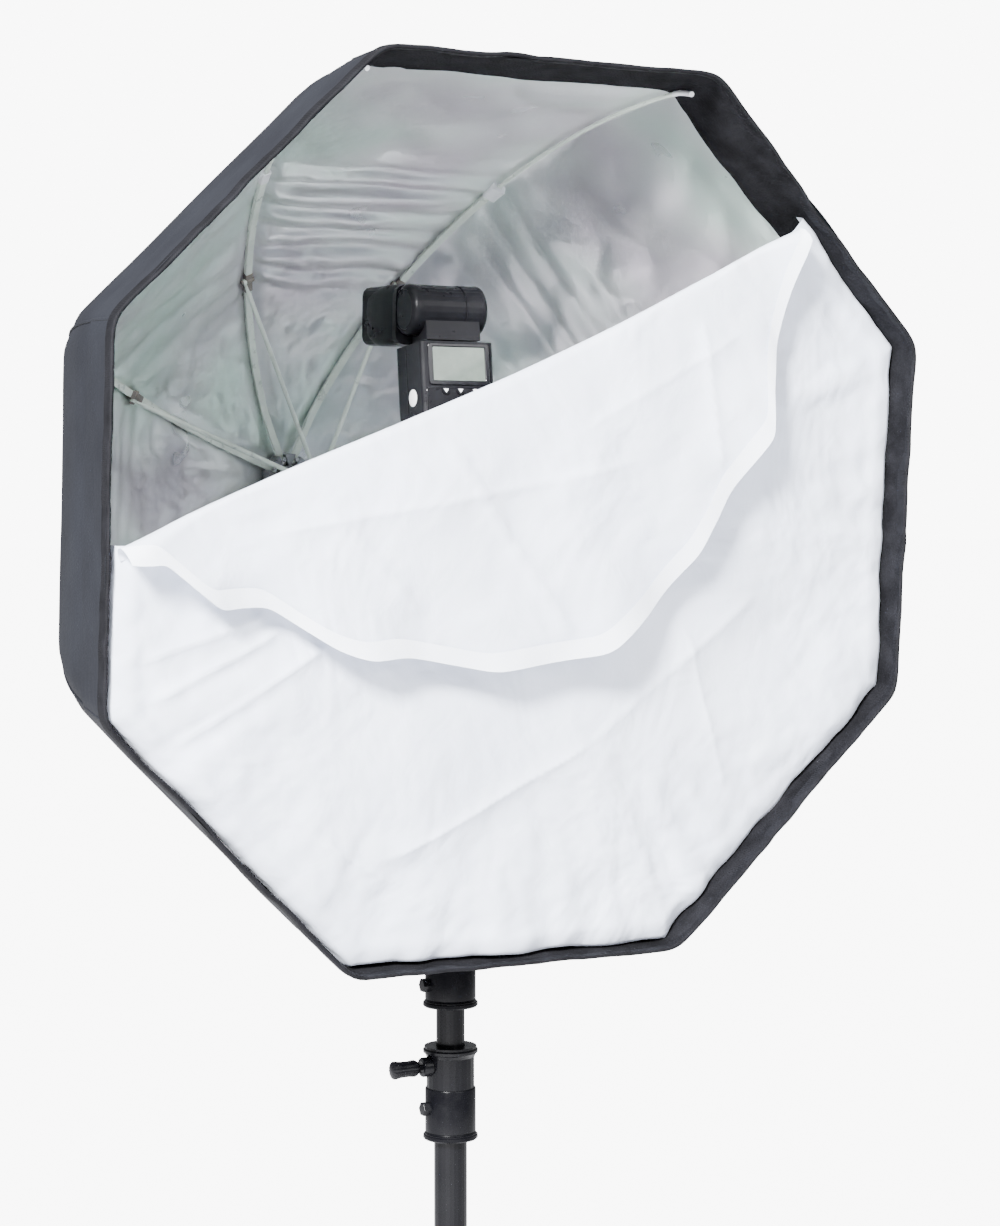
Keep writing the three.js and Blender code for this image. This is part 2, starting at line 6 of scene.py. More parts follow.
import bmesh
import bpy
import numpy as np
from mathutils import Matrix, Vector


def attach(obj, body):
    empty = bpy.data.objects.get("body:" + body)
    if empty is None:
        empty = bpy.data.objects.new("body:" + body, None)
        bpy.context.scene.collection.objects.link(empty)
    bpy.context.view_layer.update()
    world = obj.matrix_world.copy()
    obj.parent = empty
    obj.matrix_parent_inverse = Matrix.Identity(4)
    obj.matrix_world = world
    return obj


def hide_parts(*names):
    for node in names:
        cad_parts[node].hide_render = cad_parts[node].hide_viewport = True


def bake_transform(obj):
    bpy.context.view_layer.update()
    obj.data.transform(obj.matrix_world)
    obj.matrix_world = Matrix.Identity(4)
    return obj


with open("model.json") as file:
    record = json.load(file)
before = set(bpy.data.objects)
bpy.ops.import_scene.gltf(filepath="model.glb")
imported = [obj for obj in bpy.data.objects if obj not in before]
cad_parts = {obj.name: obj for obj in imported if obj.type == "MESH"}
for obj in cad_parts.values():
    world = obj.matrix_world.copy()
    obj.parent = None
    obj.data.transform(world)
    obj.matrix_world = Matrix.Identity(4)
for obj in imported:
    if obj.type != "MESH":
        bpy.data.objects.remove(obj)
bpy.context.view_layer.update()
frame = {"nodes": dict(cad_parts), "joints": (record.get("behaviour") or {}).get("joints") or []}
NODES = frame["nodes"]
JOINTS = {j["name"]: j for j in frame["joints"]}
MM = 0.001

# ---------- frames ----------

RIB_COUNT = 8
FIRST_RIB_ANGLE = math.radians(112.5)
RIB_STEP = math.radians(45)
PIVOT_DEPTH = 0.512


def middle(points):
    return sum((Vector(p) for p in points), Vector()) / len(points)


RIGHT = Vector((1, 0, 0))
BACK = Vector(JOINTS["umbrella_slide"]["axis"])
UP = RIGHT.cross(BACK)
RIB_PIVOTS = [JOINTS[f"rib_{i + 1}_fold"]["pos_m"] for i in range(RIB_COUNT)]
MOUTH = middle(RIB_PIVOTS) - BACK * PIVOT_DEPTH
UMBRELLA_AXES = np.array([RIGHT, BACK, UP])
RIGHTWARD, BACKWARD, UPWARD = UMBRELLA_AXES

FLASH_UP = Vector(JOINTS["flash_neck_turn"]["axis"])
FLASH_BACK = Vector(JOINTS["button_middle_press"]["axis"])
HEAD_PIVOT = Vector(JOINTS["flash_head_tilt"]["pos_m"])
POLE = Vector(JOINTS["bracket_pan"]["pos_m"])


def umbrella_points(local):
    """Row-frame places of (right, depth behind the mouth, up) points, in metres."""
    return np.asarray(local, float) @ UMBRELLA_AXES + np.array(MOUTH)


def rib_angle(index):
    return FIRST_RIB_ANGLE - index * RIB_STEP


# ---------- smooth noise on points ----------


def lattice(cell, seed):
    """A fixed number from 0 to 1 for each whole-number cell."""
    h = cell[..., 0] * 73856093 + cell[..., 1] * 19349663 + cell[..., 2] * 83492791
    h = (h + seed * 15485863) & 0x7FFFFFFF
    h = ((h ^ (h >> 13)) * 1274126177) & 0x7FFFFFFF
    return ((h ^ (h >> 16)) & 0xFFFF) / 65535.0


def noise(points, seed=0):
    """Smooth value noise from -1 to 1, one cell per unit."""
    points = np.asarray(points, float)
    base = np.floor(points).astype(np.int64)
    f = points - base
    f = f * f * f * (f * (6 * f - 15) + 10)
    total = np.zeros(points.shape[:-1])
    for corner in range(8):
        offset = np.array([corner & 1, corner >> 1 & 1, corner >> 2 & 1])
        weight = np.prod(np.where(offset, f, 1 - f), axis=-1)
        total += weight * lattice(base + offset, seed)
    return 2 * total - 1


def layered(points, octaves=3, seed=0):
    return sum(noise(np.asarray(points) * 2**i, seed + i) / 2**i for i in range(octaves))


def spots(*coordinates):
    """Points from one to three coordinates that broadcast together, with zeros for the rest."""
    missing = [np.zeros(1)] * (3 - len(coordinates))
    return np.stack(np.broadcast_arrays(*coordinates, *missing), axis=-1)


def soft(x):
    """Smooth step from 0 to 1."""
    x = np.clip(x, 0, 1)
    return x * x * (3 - 2 * x)


# ---------- materials ----------


class Shader:
    """One material's nodes, with its textures in object space."""

    def __init__(self, name):
        self.material = bpy.data.materials.new(name)
        self.material.use_nodes = True
        self.nodes = self.material.node_tree.nodes
        self.links = self.material.node_tree.links
        self.surface = self.nodes["Principled BSDF"]
        self.space = self.nodes.new("ShaderNodeTexCoord").outputs["Object"]

    def node(self, kind, **values):
        made = self.nodes.new(f"ShaderNode{kind}")
        for name, value in values.items():
            made.inputs[name].default_value = value
        return made

    def noise(self, scale, detail=4.0, roughness=0.55, distortion=0.0):
        texture = self.node("TexNoise", Scale=scale, Detail=detail, Roughness=roughness,
                            Distortion=distortion)
        self.links.new(self.space, texture.inputs["Vector"])
        return texture.outputs["Fac"]

    def ramp(self, value, stops):
        made = self.node("ValToRGB")
        elements = made.color_ramp.elements
        while len(elements) < len(stops):
            elements.new(0.5)
        for element, (place, color) in zip(elements, stops):
            element.position = place
            element.color = (*color, 1)
        self.links.new(value, made.inputs["Fac"])
        return made.outputs["Color"]

    def bump(self, height, strength, distance, below=None):
        made = self.node("Bump", Strength=strength, Distance=distance)
        self.links.new(height, made.inputs["Height"])
        if below is not None:
            self.links.new(below, made.inputs["Normal"])
        return made.outputs["Normal"]

    def weave(self, pitch):
        """Height of a plain weave, from two sets of threads."""
        both = self.node("Math")
        both.operation = "MULTIPLY"
        for height, direction in zip(both.inputs, ("X", "Z")):
            wave = self.node("TexWave", Scale=0.314 / pitch, Distortion=0.4)
            wave.bands_direction = direction
            self.links.new(self.space, wave.inputs["Vector"])
            self.links.new(wave.outputs["Fac"], height)
        return both.outputs["Value"]

    def finished(self, color, rough, normal, values):
        """The material, once its surface's inputs are linked or set."""
        inputs = {"Base Color": color, "Roughness": rough, "Normal": normal, **values}
        for name, value in inputs.items():
            if isinstance(value, bpy.types.NodeSocket):
                self.links.new(value, self.surface.inputs[name])
            else:
                self.surface.inputs[name].default_value = value
        return self.material


def silver_lining():
    shader = Shader("silver_lining")
    color = shader.ramp(shader.noise(5, 2, 0.5), [
        (0.37, (0.74, 0.69, 0.75)), (0.50, (0.84, 0.855, 0.86)), (0.61, (0.75, 0.88, 0.82))])
    rough = shader.ramp(shader.noise(20, 2), [(0.3, (0.27, 0.27, 0.27)), (0.7, (0.38, 0.38, 0.38))])
    crinkle = shader.bump(shader.noise(22, 3, 0.5), 0.35, 0.005)
    return shader.finished(color, rough, crinkle, {"Metallic": 0.85})


def black_fabric(name, patches, rough, specular, relief, stops):
    """Black cloth: patches is its mottling's noise scale and detail, relief makes its bumps."""
    shader = Shader(name)
    color = shader.ramp(shader.noise(*patches), stops)
    return shader.finished(color, rough, relief(shader), {"Specular IOR Level": specular})


def nylon_relief(shader):
    crinkle = shader.bump(shader.noise(30, 4), 0.3, 0.003)
    return shader.bump(shader.weave(0.0011), 0.3, 0.0003, crinkle)


def plush_relief(shader):
    return shader.bump(shader.noise(420, 2), 0.8, 0.0015)


def tape_relief(shader):
    return shader.bump(shader.weave(0.0014), 0.6, 0.0005)


def white_cloth():
    """Front cloth: matt, with soft folds, fine creases and a weave."""
    shader = Shader("white_cloth")
    color = shader.ramp(shader.noise(5, 3), [(0.3, (0.66, 0.71, 0.83)), (0.7, (0.71, 0.755, 0.86))])
    folds = shader.bump(shader.noise(7, 3, 0.5, 0.9), 0.8, 0.016)
    creases = shader.bump(shader.noise(30, 3, 0.5, 0.6), 0.4, 0.004, folds)
    cloth = shader.bump(shader.weave(0.0008), 0.15, 0.0002, creases)
    return shader.finished(color, 0.75, cloth, {"Sheen Weight": 0.15})


def hard(name, light, dark, rough, metallic=0.0, grain=300.0, depth=0.0002, coat=0.0, specular=0.3):
    """Moulded plastic or painted metal: two shades, fine grain and uneven gloss."""
    shader = Shader(name)
    color = shader.ramp(shader.noise(45, 4), [(0.3, dark), (0.7, light)])
    gloss = shader.ramp(shader.noise(90, 3), [
        (0.3, (rough * 0.8,) * 3), (0.7, (min(1, rough * 1.2),) * 3)])
    grit = shader.bump(shader.noise(grain, 2), 0.4, depth)
    return shader.finished(color, gloss, grit, {
        "Metallic": metallic, "Coat Weight": coat, "Specular IOR Level": specular})


LOOK = {
    "lining": silver_lining(),
    "nylon": black_fabric("black_nylon", (12, 4), 0.62, 0.15, nylon_relief,
                          [(0.3, (0.0075, 0.008, 0.011)), (0.7, (0.012, 0.013, 0.017))]),
    "plush": black_fabric("black_plush", (40, 5), 0.95, 0.08, plush_relief,
                          [(0.35, (0.004, 0.004, 0.005)), (0.65, (0.010, 0.010, 0.012))]),
    "tape": black_fabric("black_tape", (60, 3), 0.7, 0.10, tape_relief,
                         [(0.3, (0.0035, 0.0035, 0.0045)), (0.7, (0.008, 0.008, 0.010))]),
    "white": white_cloth(),
    "hem": hard("white_hem_tape", (0.86, 0.90, 0.98), (0.82, 0.86, 0.94), 0.7, 0, 700, 0.0003),
    "rod": hard("pale_rod", (0.78, 0.84, 0.76), (0.64, 0.70, 0.64), 0.32, 0.15, 60, 0.00002),
    "hub": hard("hub_metal", (0.34, 0.34, 0.35), (0.20, 0.20, 0.21), 0.34, 0.75),
    "rod_joint": hard("bronze_joint", (0.30, 0.27, 0.24), (0.17, 0.15, 0.14), 0.4, 0.7),
    "dark_metal": hard("dark_metal", (0.075, 0.072, 0.075), (0.045, 0.043, 0.046), 0.32, 0.7),
    "bright_metal": hard("bright_metal", (0.62, 0.62, 0.63), (0.48, 0.48, 0.49), 0.28, 0.9),
    "plastic": hard("black_plastic", (0.010, 0.010, 0.012), (0.006, 0.006, 0.008), 0.32, 0, 900, 0.00012,
                    specular=0.16),
    "gloss": hard("gloss_black", (0.008, 0.008, 0.010), (0.005, 0.005, 0.007), 0.20, 0, 500, 0.00005,
                  specular=0.45),
    "grey": hard("grey_plastic", (0.20, 0.20, 0.21), (0.14, 0.14, 0.15), 0.4, 0, 700, 0.0001),
    "white_plastic": hard("white_plastic", (0.85, 0.86, 0.88), (0.78, 0.79, 0.82), 0.35, 0, 500, 0.00008),
    "lens": hard("flash_lens", (0.80, 0.81, 0.80), (0.68, 0.69, 0.69), 0.15, 0, 200, 0.0002, 0.4),
    "screen": hard("screen_face", (0.13, 0.155, 0.135), (0.09, 0.11, 0.095), 0.22, 0, 60, 0.00002, 0.5),
    "satin": hard("black_satin", (0.004, 0.004, 0.005), (0.002, 0.002, 0.003), 0.26, 0, 500, 0.00006,
                  specular=0.14),
    "rubber": hard("black_rubber", (0.012, 0.012, 0.013), (0.007, 0.007, 0.008), 0.8, 0, 900, 0.0003,
                   specular=0.2),
}

# ---------- mesh helpers ----------


def new_object(name, points, faces, look, smooth=True, normals=None):
    mesh = bpy.data.meshes.new(name)
    mesh.from_pydata([tuple(p) for p in points], [], [tuple(f) for f in faces])
    mesh.materials.append(LOOK[look])
    mesh.polygons.foreach_set("use_smooth", [smooth] * len(mesh.polygons))
    if normals is not None:
        first = mesh.polygons[len(mesh.polygons) // 2]
        if first.normal.dot(Vector(normals[first.vertices[0]])) < 0:
            mesh.flip_normals()
        mesh.normals_split_custom_set_from_vertices([tuple(n) for n in normals])
    piece = bpy.data.objects.new(name, mesh)
    bpy.context.scene.collection.objects.link(piece)
    return piece


def grid_normals(grid, around=False):
    """Unit normals of a (rows, columns, 3) grid of points."""
    down = np.gradient(grid, axis=0)
    if around:
        across = (np.roll(grid, -1, axis=1) - np.roll(grid, 1, axis=1)) / 2
    else:
        across = np.gradient(grid, axis=1)
    normal = np.cross(down, across)
    return normal / np.maximum(np.linalg.norm(normal, axis=-1, keepdims=True), 1e-12)


def grid_faces(rows, columns, keep=None):
    faces = []
    for i in range(rows - 1):
        for j in range(columns - 1):
            if keep is None or keep[i, j]:
                a = i * columns + j
                faces.append((a, a + 1, a + columns + 1, a + columns))
    return faces


# ---------- canopy, side band and rim tape: grids round the whole umbrella ----------

COLUMNS = 56                      # per rib sector
DOME_RADIUS = 0.396
DOME_DEPTH = 0.525
DOME_POWER = 1.85
BAND_DEPTH = 0.067
BAND_BACK_RADIUS = 0.3935
CANOPY_FRONT_RADIUS = 0.3916
CANOPY_ROWS = 118
PEAK_RADIUS = 0.007
PLUSH_DEPTH = 0.075
MOUTH_RADIUS = 0.400
FOLLOW_START = 0.28               # share of the way from mid-gore to a rib where the front cloth's follow weight starts to rise


def around_columns():
    """For each column: the two ribs beside it, the share between them and how near it is to its rib."""
    place = np.arange(RIB_COUNT * COLUMNS) / COLUMNS - 0.5
    first = np.floor(place).astype(int)
    share = place - first
    nearness = 1 - np.minimum(share, 1 - share) * 2
    return first, share, nearness


FIRST_RIB, SHARE, NEARNESS = around_columns()


def octagon_column(radius):
    """(right, up) of each column's point where the ribs are radius out and cloth is straight between."""
    a = FIRST_RIB_ANGLE - FIRST_RIB * RIB_STEP
    b = a - RIB_STEP
    right = (1 - SHARE) * np.cos(a) + SHARE * np.cos(b)
    up = (1 - SHARE) * np.sin(a) + SHARE * np.sin(b)
    return radius * right, radius * up


def ring_grid(radii, depths):
    """Grid of points, one row for each radius and depth."""
    rows = []
    for radius, depth in zip(radii, depths):
        right, up = octagon_column(radius)
        rows.append(spots(right, depth, up))
    return rounded_corners(np.array(rows))


def rounded_corners(grid, passes=5):
    """Rounds the cloth's bend over each rib a little, and keeps its distance from the axis there."""
    rib_column = COLUMNS // 2
    before = np.linalg.norm(grid[-1, rib_column, [0, 2]])
    for _ in range(passes):
        grid = 0.5 * grid + 0.25 * (np.roll(grid, 1, axis=1) + np.roll(grid, -1, axis=1))
    share = before / np.linalg.norm(grid[-1, rib_column, [0, 2]])
    return grid * np.array([share, 1, share])


def sector_sheets(name, grid, look, keep=None, flip=False):
    """Splits a grid round the umbrella into eight sheets, one centred on each rib."""
    world = umbrella_points(grid)
    normals = grid_normals(world, around=True) * (-1 if flip else 1)
    pieces = []
    for i in range(RIB_COUNT):
        columns = np.arange(i * COLUMNS, (i + 1) * COLUMNS + 1) % (RIB_COUNT * COLUMNS)
        part = world[:, columns]
        rows, count = part.shape[:2]
        kept = None if keep is None else keep[:, columns[:-1]]
        faces = grid_faces(rows, count, kept)
        piece = new_object(f"{name}_{i + 1}", part.reshape(-1, 3), faces, look,
                           normals=normals[:, columns].reshape(-1, 3))
        blend_to(piece)
        pieces.append(piece)
    return pieces


def blend_to(piece):
    """Bakes a piece's placement into its mesh points."""
    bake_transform(piece)


def dome_rows(count):
    """Radii and depths of the canopy's rows, evenly spaced along the cloth from peak to band."""
    share = np.linspace(0, 1, 2000)
    radius = PEAK_RADIUS + (CANOPY_FRONT_RADIUS - PEAK_RADIUS) * np.sin(share * math.pi / 2)
    depths = DOME_DEPTH * (1 - (radius / DOME_RADIUS) ** 2) ** (1 / DOME_POWER)
    along = np.concatenate([[0], np.cumsum(np.hypot(np.diff(radius), np.diff(depths)))])
    even = np.linspace(0, along[-1], count)
    return np.interp(even, along, radius), np.interp(even, along, depths), even


SLOT_COLUMN = (RIB_COUNT // 2 + 1) * COLUMNS
SLOT_HALF = 0.029
SLOT_FRONT = 0.073
SLOT_BACK = 0.239
# strength of the gathers in the cloth between rib 1 and rib 2, rib 2 and rib 3, and so on
GATHERS = np.array([1.0, 0.35, 0.3, 0.45, 0.3, 0.5, 0.35, 0.3])
FOLD_PITCH = 0.034
GATHER_DEPTH = 0.0090
MOST_OUT = 0.0035
SHEET_GAP = 0.0032                # between the nylon and the smooth shape, clear of every wrinkle


def canopy_wrinkles(grid, along):
    """How far the lining stands out from its smooth shape, and how free it is of the ribs."""
    gore = FIRST_RIB % RIB_COUNT
    across = SHARE + gore * 7.0
    run = along[:, None]
    width = np.linalg.norm(grid[:, :, [0, 2]], axis=-1) * 0.765
    from_rib = (1 - NEARNESS) * width / 2
    free = soft(from_rib / 0.018)
    near_rib = np.exp(-from_rib / 0.022)
    warp = layered(spots(across * 1.3, run * 11), 2, 3)
    level = run / FOLD_PITCH + 0.45 * warp + 0.5 * (SHARE - 0.5)
    ridge = np.abs(np.sin(math.pi * level)) ** 0.8
    strength = 0.75 + 0.35 * layered(spots(across * 1.2, run * 20), 2, 9)
    gather = np.exp(-(((run - 0.305) / 0.105) ** 4)) * GATHERS[gore]
    small = spots(from_rib * 30, run * 120, across * 3)
    broad = layered(grid / 0.11, 2, 11)
    crumple = np.sqrt(layered(grid / 0.034, 3, 17) ** 2 + 0.02) * (0.15 + soft((0.26 - run) / 0.1))
    slanted = spots(across * 2.6 + run * 10, run * 7 - across * 1.6)
    folds = np.sqrt(layered(slanted, 2, 29) ** 2 + 0.01)
    out = -GATHER_DEPTH * ridge * strength * gather * (0.25 + 0.75 * free)
    out -= 0.0007 * near_rib * (1 + noise(small, 5))
    out += free * (0.0036 * broad - 0.0026 * crumple - 0.0040 * folds * soft((run - 0.10) / 0.2))
    fade = soft((along[-1] - run) / 0.045) * soft(run / 0.05)
    out = np.where(out > 0, MOST_OUT * np.tanh(out / MOST_OUT), out)
    return out * fade, free * fade


def open_slot(grid):
    """Moves the columns beside the pole's slot onto its edge, and says which faces stay."""
    right, depth, up = grid[..., 0], grid[..., 1], grid[..., 2]
    near = np.abs(np.arange(grid.shape[1]) - SLOT_COLUMN)
    beside = np.abs(right[grid.shape[0] * 3 // 4])
    misses = np.where(near < 20, np.abs(beside - SLOT_HALF), 9)
    edge_step = int(np.argmin(misses[SLOT_COLUMN:]))
    rows = (depth > SLOT_FRONT - 0.012) & (depth < SLOT_BACK + 0.012) & (up < 0)
    share = rows * np.clip(1 - np.abs(near - edge_step) / 10, 0, 1)
    edge = np.abs(right[:, SLOT_COLUMN + edge_step])[:, None]
    grid[..., 0] = right + np.sign(right) * share * (SLOT_HALF - edge)
    centre = (depth[:-1] + depth[1:]) / 2
    between = np.zeros(grid.shape[1], bool)
    between[SLOT_COLUMN - edge_step:SLOT_COLUMN + edge_step] = True
    return ~((centre > SLOT_FRONT) & (centre < SLOT_BACK) & between)


def make_canopy():
    radii, depths, along = dome_rows(CANOPY_ROWS)
    grid = ring_grid(radii, depths)
    outward = grid_normals(grid, around=True)
    if outward[CANOPY_ROWS // 2, 0] @ grid[CANOPY_ROWS // 2, 0] < 0:
        outward = -outward
    wrinkles, free = canopy_wrinkles(grid, along)
    outside = grid + outward * (0.15 * wrinkles + SHEET_GAP * free)[..., None]
    inside = grid + outward * (wrinkles - 0.0010)[..., None]
    open_slot(inside)
    keep = open_slot(outside)
    outer = sector_sheets("canopy_outside", outside, "nylon", keep)
    lining = sector_sheets("canopy_lining", inside, "lining", keep, flip=True)
    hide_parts("canopy")
    return outer + lining


def make_band():
    rows = 16
    depths = np.linspace(BAND_DEPTH, 0.001, rows)
    radii = BAND_BACK_RADIUS + (MOUTH_RADIUS - BAND_BACK_RADIUS) * (1 - depths / BAND_DEPTH)
    grid = ring_grid(radii, depths)
    ripple = layered(grid / 0.06, 2, 41)[..., None]
    out = grid * np.array([1, 0, 1])
    out = out / np.linalg.norm(out, axis=-1, keepdims=True)
    free = (1 - NEARNESS)[:, None]
    skin = grid + out * ripple * 0.0016 * free
    tape = rim_tape()
    outer = sector_sheets("band_outside", skin, "nylon")
    plush_depths = np.linspace(PLUSH_DEPTH, 0.002, rows)
    plush_grid = ring_grid(np.linspace(0.3880, 0.3972, rows), plush_depths)
    column = np.arange(grid.shape[1]) / 12.0
    edge_wave = layered(spots(column), 3, 47)
    plush_grid[..., 1] += edge_wave * 0.0085 * (plush_depths / PLUSH_DEPTH)[:, None]
    sector_sheets("band_inside", plush_grid + out * ripple * 0.0009 * free, "plush", flip=True)
    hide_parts("side_band")
    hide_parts("rim_tape")


def rim_tape():
    """Binding folded over the front edge: its section runs from outside to inside."""
    section = [(0.0010, 0.011), (0.0011, 0.005), (0.0009, 0.0008), (0.0001, -0.0010), (-0.0013, -0.0014),
               (-0.0026, -0.0007), (-0.0031, 0.0012), (-0.0031, 0.006), (-0.0030, 0.011)]
    grid = ring_grid([MOUTH_RADIUS + out for out, _ in section], [depth for _, depth in section])
    place = np.arange(grid.shape[1]) / 7.0
    flat = spots(place)
    out = grid * np.array([1, 0, 1]) / 0.4
    free = (1 - NEARNESS)[:, None] + 0.25
    grid = grid + out * (layered(flat, 3, 8)[:, None] * 0.0013 - 0.0004) * free
    grid[..., 1] += layered(flat * 0.7, 3, 18) * 0.0011
    return sector_sheets("rim_tape", grid, "tape")


# ---------- front cloth ----------

FRONT_RADIUS = 0.3955
APOTHEM = FRONT_RADIUS * math.cos(math.radians(22.5))
CHORD_TURN = math.radians(23.9)
CHORD_DISTANCE = 0.1315
CHORD_HALF = 0.341
PEEL_START = math.radians(45.0)
PEEL_END = math.radians(-177.2)
HANG = math.radians(4.92)
ROLL = 0.0045
# edge of the peeled corner: (along the fold, down from it), metres
HEM = [(-0.3420, 0.000), (-0.317, 0.012), (-0.290, 0.068), (-0.249, 0.087), (-0.213, 0.140), (-0.193, 0.158),
       (-0.160, 0.169), (-0.092, 0.213), (0.006, 0.238), (0.065, 0.223), (0.117, 0.201), (0.164, 0.166),
       (0.225, 0.138), (0.236, 0.106), (0.279, 0.051), (0.3200, 0.000)]
# straight folds pressed into the cloth while packed: (right, up) to (right, up), metres, height
PRESSED = [((-0.345, -0.108), (-0.235, -0.072), 0.0010), ((-0.338, -0.141), (-0.222, -0.084), 0.0012),
           ((-0.320, -0.178), (-0.178, -0.094), 0.0012), ((-0.135, -0.282), (0.075, -0.184), 0.0010),
           ((0.060, -0.190), (0.230, -0.060), 0.0006), ((-0.200, -0.250), (-0.060, -0.330), 0.0006),
           ((0.150, -0.090), (0.205, -0.240), 0.0005), ((-0.060, -0.120), (0.100, -0.060), 0.0004)]


def segment_distance(x, z, a, b):
    a, b = np.array(a), np.array(b)
    along = b - a
    t = ((x - a[0]) * along[0] + (z - a[1]) * along[1]) / (along @ along)
    t = np.clip(t, 0, 1)
    return np.hypot(x - a[0] - t * along[0], z - a[1] - t * along[1]), t


def angle_from_side(angle):
    """Angle from the middle of the octagon's nearest side."""
    past = np.mod(angle, RIB_STEP)
    return np.minimum(past, RIB_STEP - past)


def front_depth(x, z):
    """Depth of the stretched cloth behind the mouth plane, wrinkles included."""
    angle = np.arctan2(z, x)
    reach = np.hypot(x, z) / FRONT_RADIUS
    edge = 0.0108 + 0.0096 * np.cos(angle + 0.25)
    depth = 0.009 + (edge - 0.009) * soft((reach - 0.3) / 0.7)
    flat = spots(x, z)
    free = soft((1.0 - reach) / 0.12)
    depth += 0.0055 * layered(flat / 0.17, 2, 51) * (0.35 + 0.65 * free)
    inside = np.maximum(APOTHEM - np.hypot(x, z) * np.cos(angle_from_side(angle)), 0)
    depth += 0.0040 * np.clip(1 - inside / 0.014, 0, 1) ** 2
    depth -= 0.0012 * np.exp(-(((inside - 0.017) / 0.006) ** 2))
    depth += 0.0022 * layered(flat / 0.045, 3, 57) * soft((reach - 0.45) / 0.35)
    pull = np.abs(np.sin(4 * (angle - FIRST_RIB_ANGLE)))
    ray = noise(spots(angle * 16, reach * 1.5), 61)
    depth += 0.0042 * ray * soft((reach - 0.55) / 0.35) * (1 - 0.5 * pull)
    for a, b, height in PRESSED:
        distance, t = segment_distance(x, z, a, b)
        ends = soft(t / 0.15) * soft((1 - t) / 0.15)
        depth -= 4.6 * height * ends * np.exp(-distance / 0.007)
    return depth


def side_radius(angle):
    """Distance from the mouth's centre to the side of the octagon."""
    return APOTHEM / np.cos(angle_from_side(angle))


# the same on the peeled corner: (along the fold, down) to (along the fold, down)
FLAP_FOLDS = [((-0.060, 0.015), (-0.015, 0.225), 0.0010), ((-0.250, 0.030), (0.120, 0.110), 0.0007),
              ((0.200, 0.020), (0.165, 0.150), 0.0009), ((0.050, 0.060), (0.240, 0.050), 0.0005),
              ((-0.180, 0.020), (-0.130, 0.150), 0.0006)]
RINGS = 120
TURNS = 84                        # columns per eighth of a turn


def front_wedge(index):
    """The eighth of the stretched cloth round one corner, with its edge turned in along the band."""
    centre = rib_angle(index)
    start = PEEL_START if index == 2 else centre + RIB_STEP / 2
    end = PEEL_END if index == 6 else centre - RIB_STEP / 2
    angle = np.linspace(start, end, TURNS + 1)
    share = np.linspace(0.0, 1.0, RINGS)
    edge = side_radius(angle) + 0.0008
    wave = 0.0016 * (1 + layered(spots(angle * 9), 2, 71))
    radius = share[:, None] * (edge - wave)
    x = radius * np.cos(angle)
    z = radius * np.sin(angle)
    plane = spots(x, front_depth(x, z), z)
    outward = spots(np.cos(angle), 0 * angle, np.sin(angle))
    tucked = []
    for step in (0.25, 0.6, 1.0):
        row = plane[-1].copy()
        row += outward * (wave * min(1, step * 2.0))[:, None] * 0.8
        row[:, 1] += 0.016 * step
        tucked.append(row)
    grid = np.concatenate([plane, np.array(tucked)])
    nearness = 1 - np.abs(angle - centre) / (RIB_STEP / 2)
    reach = np.concatenate([share, [1, 1, 1]])
    side_follow = soft((nearness - FOLLOW_START) / (1 - FOLLOW_START))
    follow = side_follow * soft((reach[:, None] - 0.1) / 0.9)
    return grid, follow


def make_front_wedges():
    for index in range(2, 7):
        grid, follow = front_wedge(index)
        world = umbrella_points(grid)
        normals = plane_normals(world)
        piece = new_object(f"front_cloth_{index + 1}", world.reshape(-1, 3),
                           grid_faces(*world.shape[:2]), "white", normals=normals.reshape(-1, 3))
        blend_to(piece)
    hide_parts("diffuser")


def plane_normals(world):
    """Normals of a fan grid whose first row is one point, all towards the front."""
    normals = grid_normals(world)
    normals = np.where((normals @ BACKWARD)[..., None] > 0, -normals, normals)
    normals[:2] = -BACKWARD
    return normals


def fold_places(columns):
    """Even steps along the fold, closer at its ends."""
    t = np.linspace(-1, 1, columns)
    return np.sin(t * math.pi / 2 * 0.98) / math.sin(math.pi / 2 * 0.98)


def fold_sag(along):
    """How far the fold droops below its straight line."""
    return 0.011 * soft(1 - np.abs(along - 0.06) / 0.36)


def chord_point(along, beyond):
    """(right, up) of a point along the fold line and beyond it from the mouth's centre."""
    beyond = beyond - fold_sag(along)
    x = along * math.cos(CHORD_TURN) - (CHORD_DISTANCE + beyond) * math.sin(CHORD_TURN)
    z = along * math.sin(CHORD_TURN) + (CHORD_DISTANCE + beyond) * math.cos(CHORD_TURN)
    return x, z


def hem_distance(along):
    """Length of the peeled corner from the fold to its hem."""
    places = np.array(HEM)
    smooth = np.interp(along, places[:, 0], places[:, 1])
    for _ in range(2):
        smooth = np.convolve(np.pad(smooth, 2, mode="edge"), [0.1, 0.2, 0.4, 0.2, 0.1], mode="valid")
    return smooth


def roll_radius(along):
    """The fold is tight in its middle and a soft roll at both ends."""
    left = np.exp(-(((along + 0.335) / 0.045) ** 2))
    right = np.exp(-(((along - 0.325) / 0.030) ** 2))
    return ROLL + 0.0085 * left + 0.0060 * right


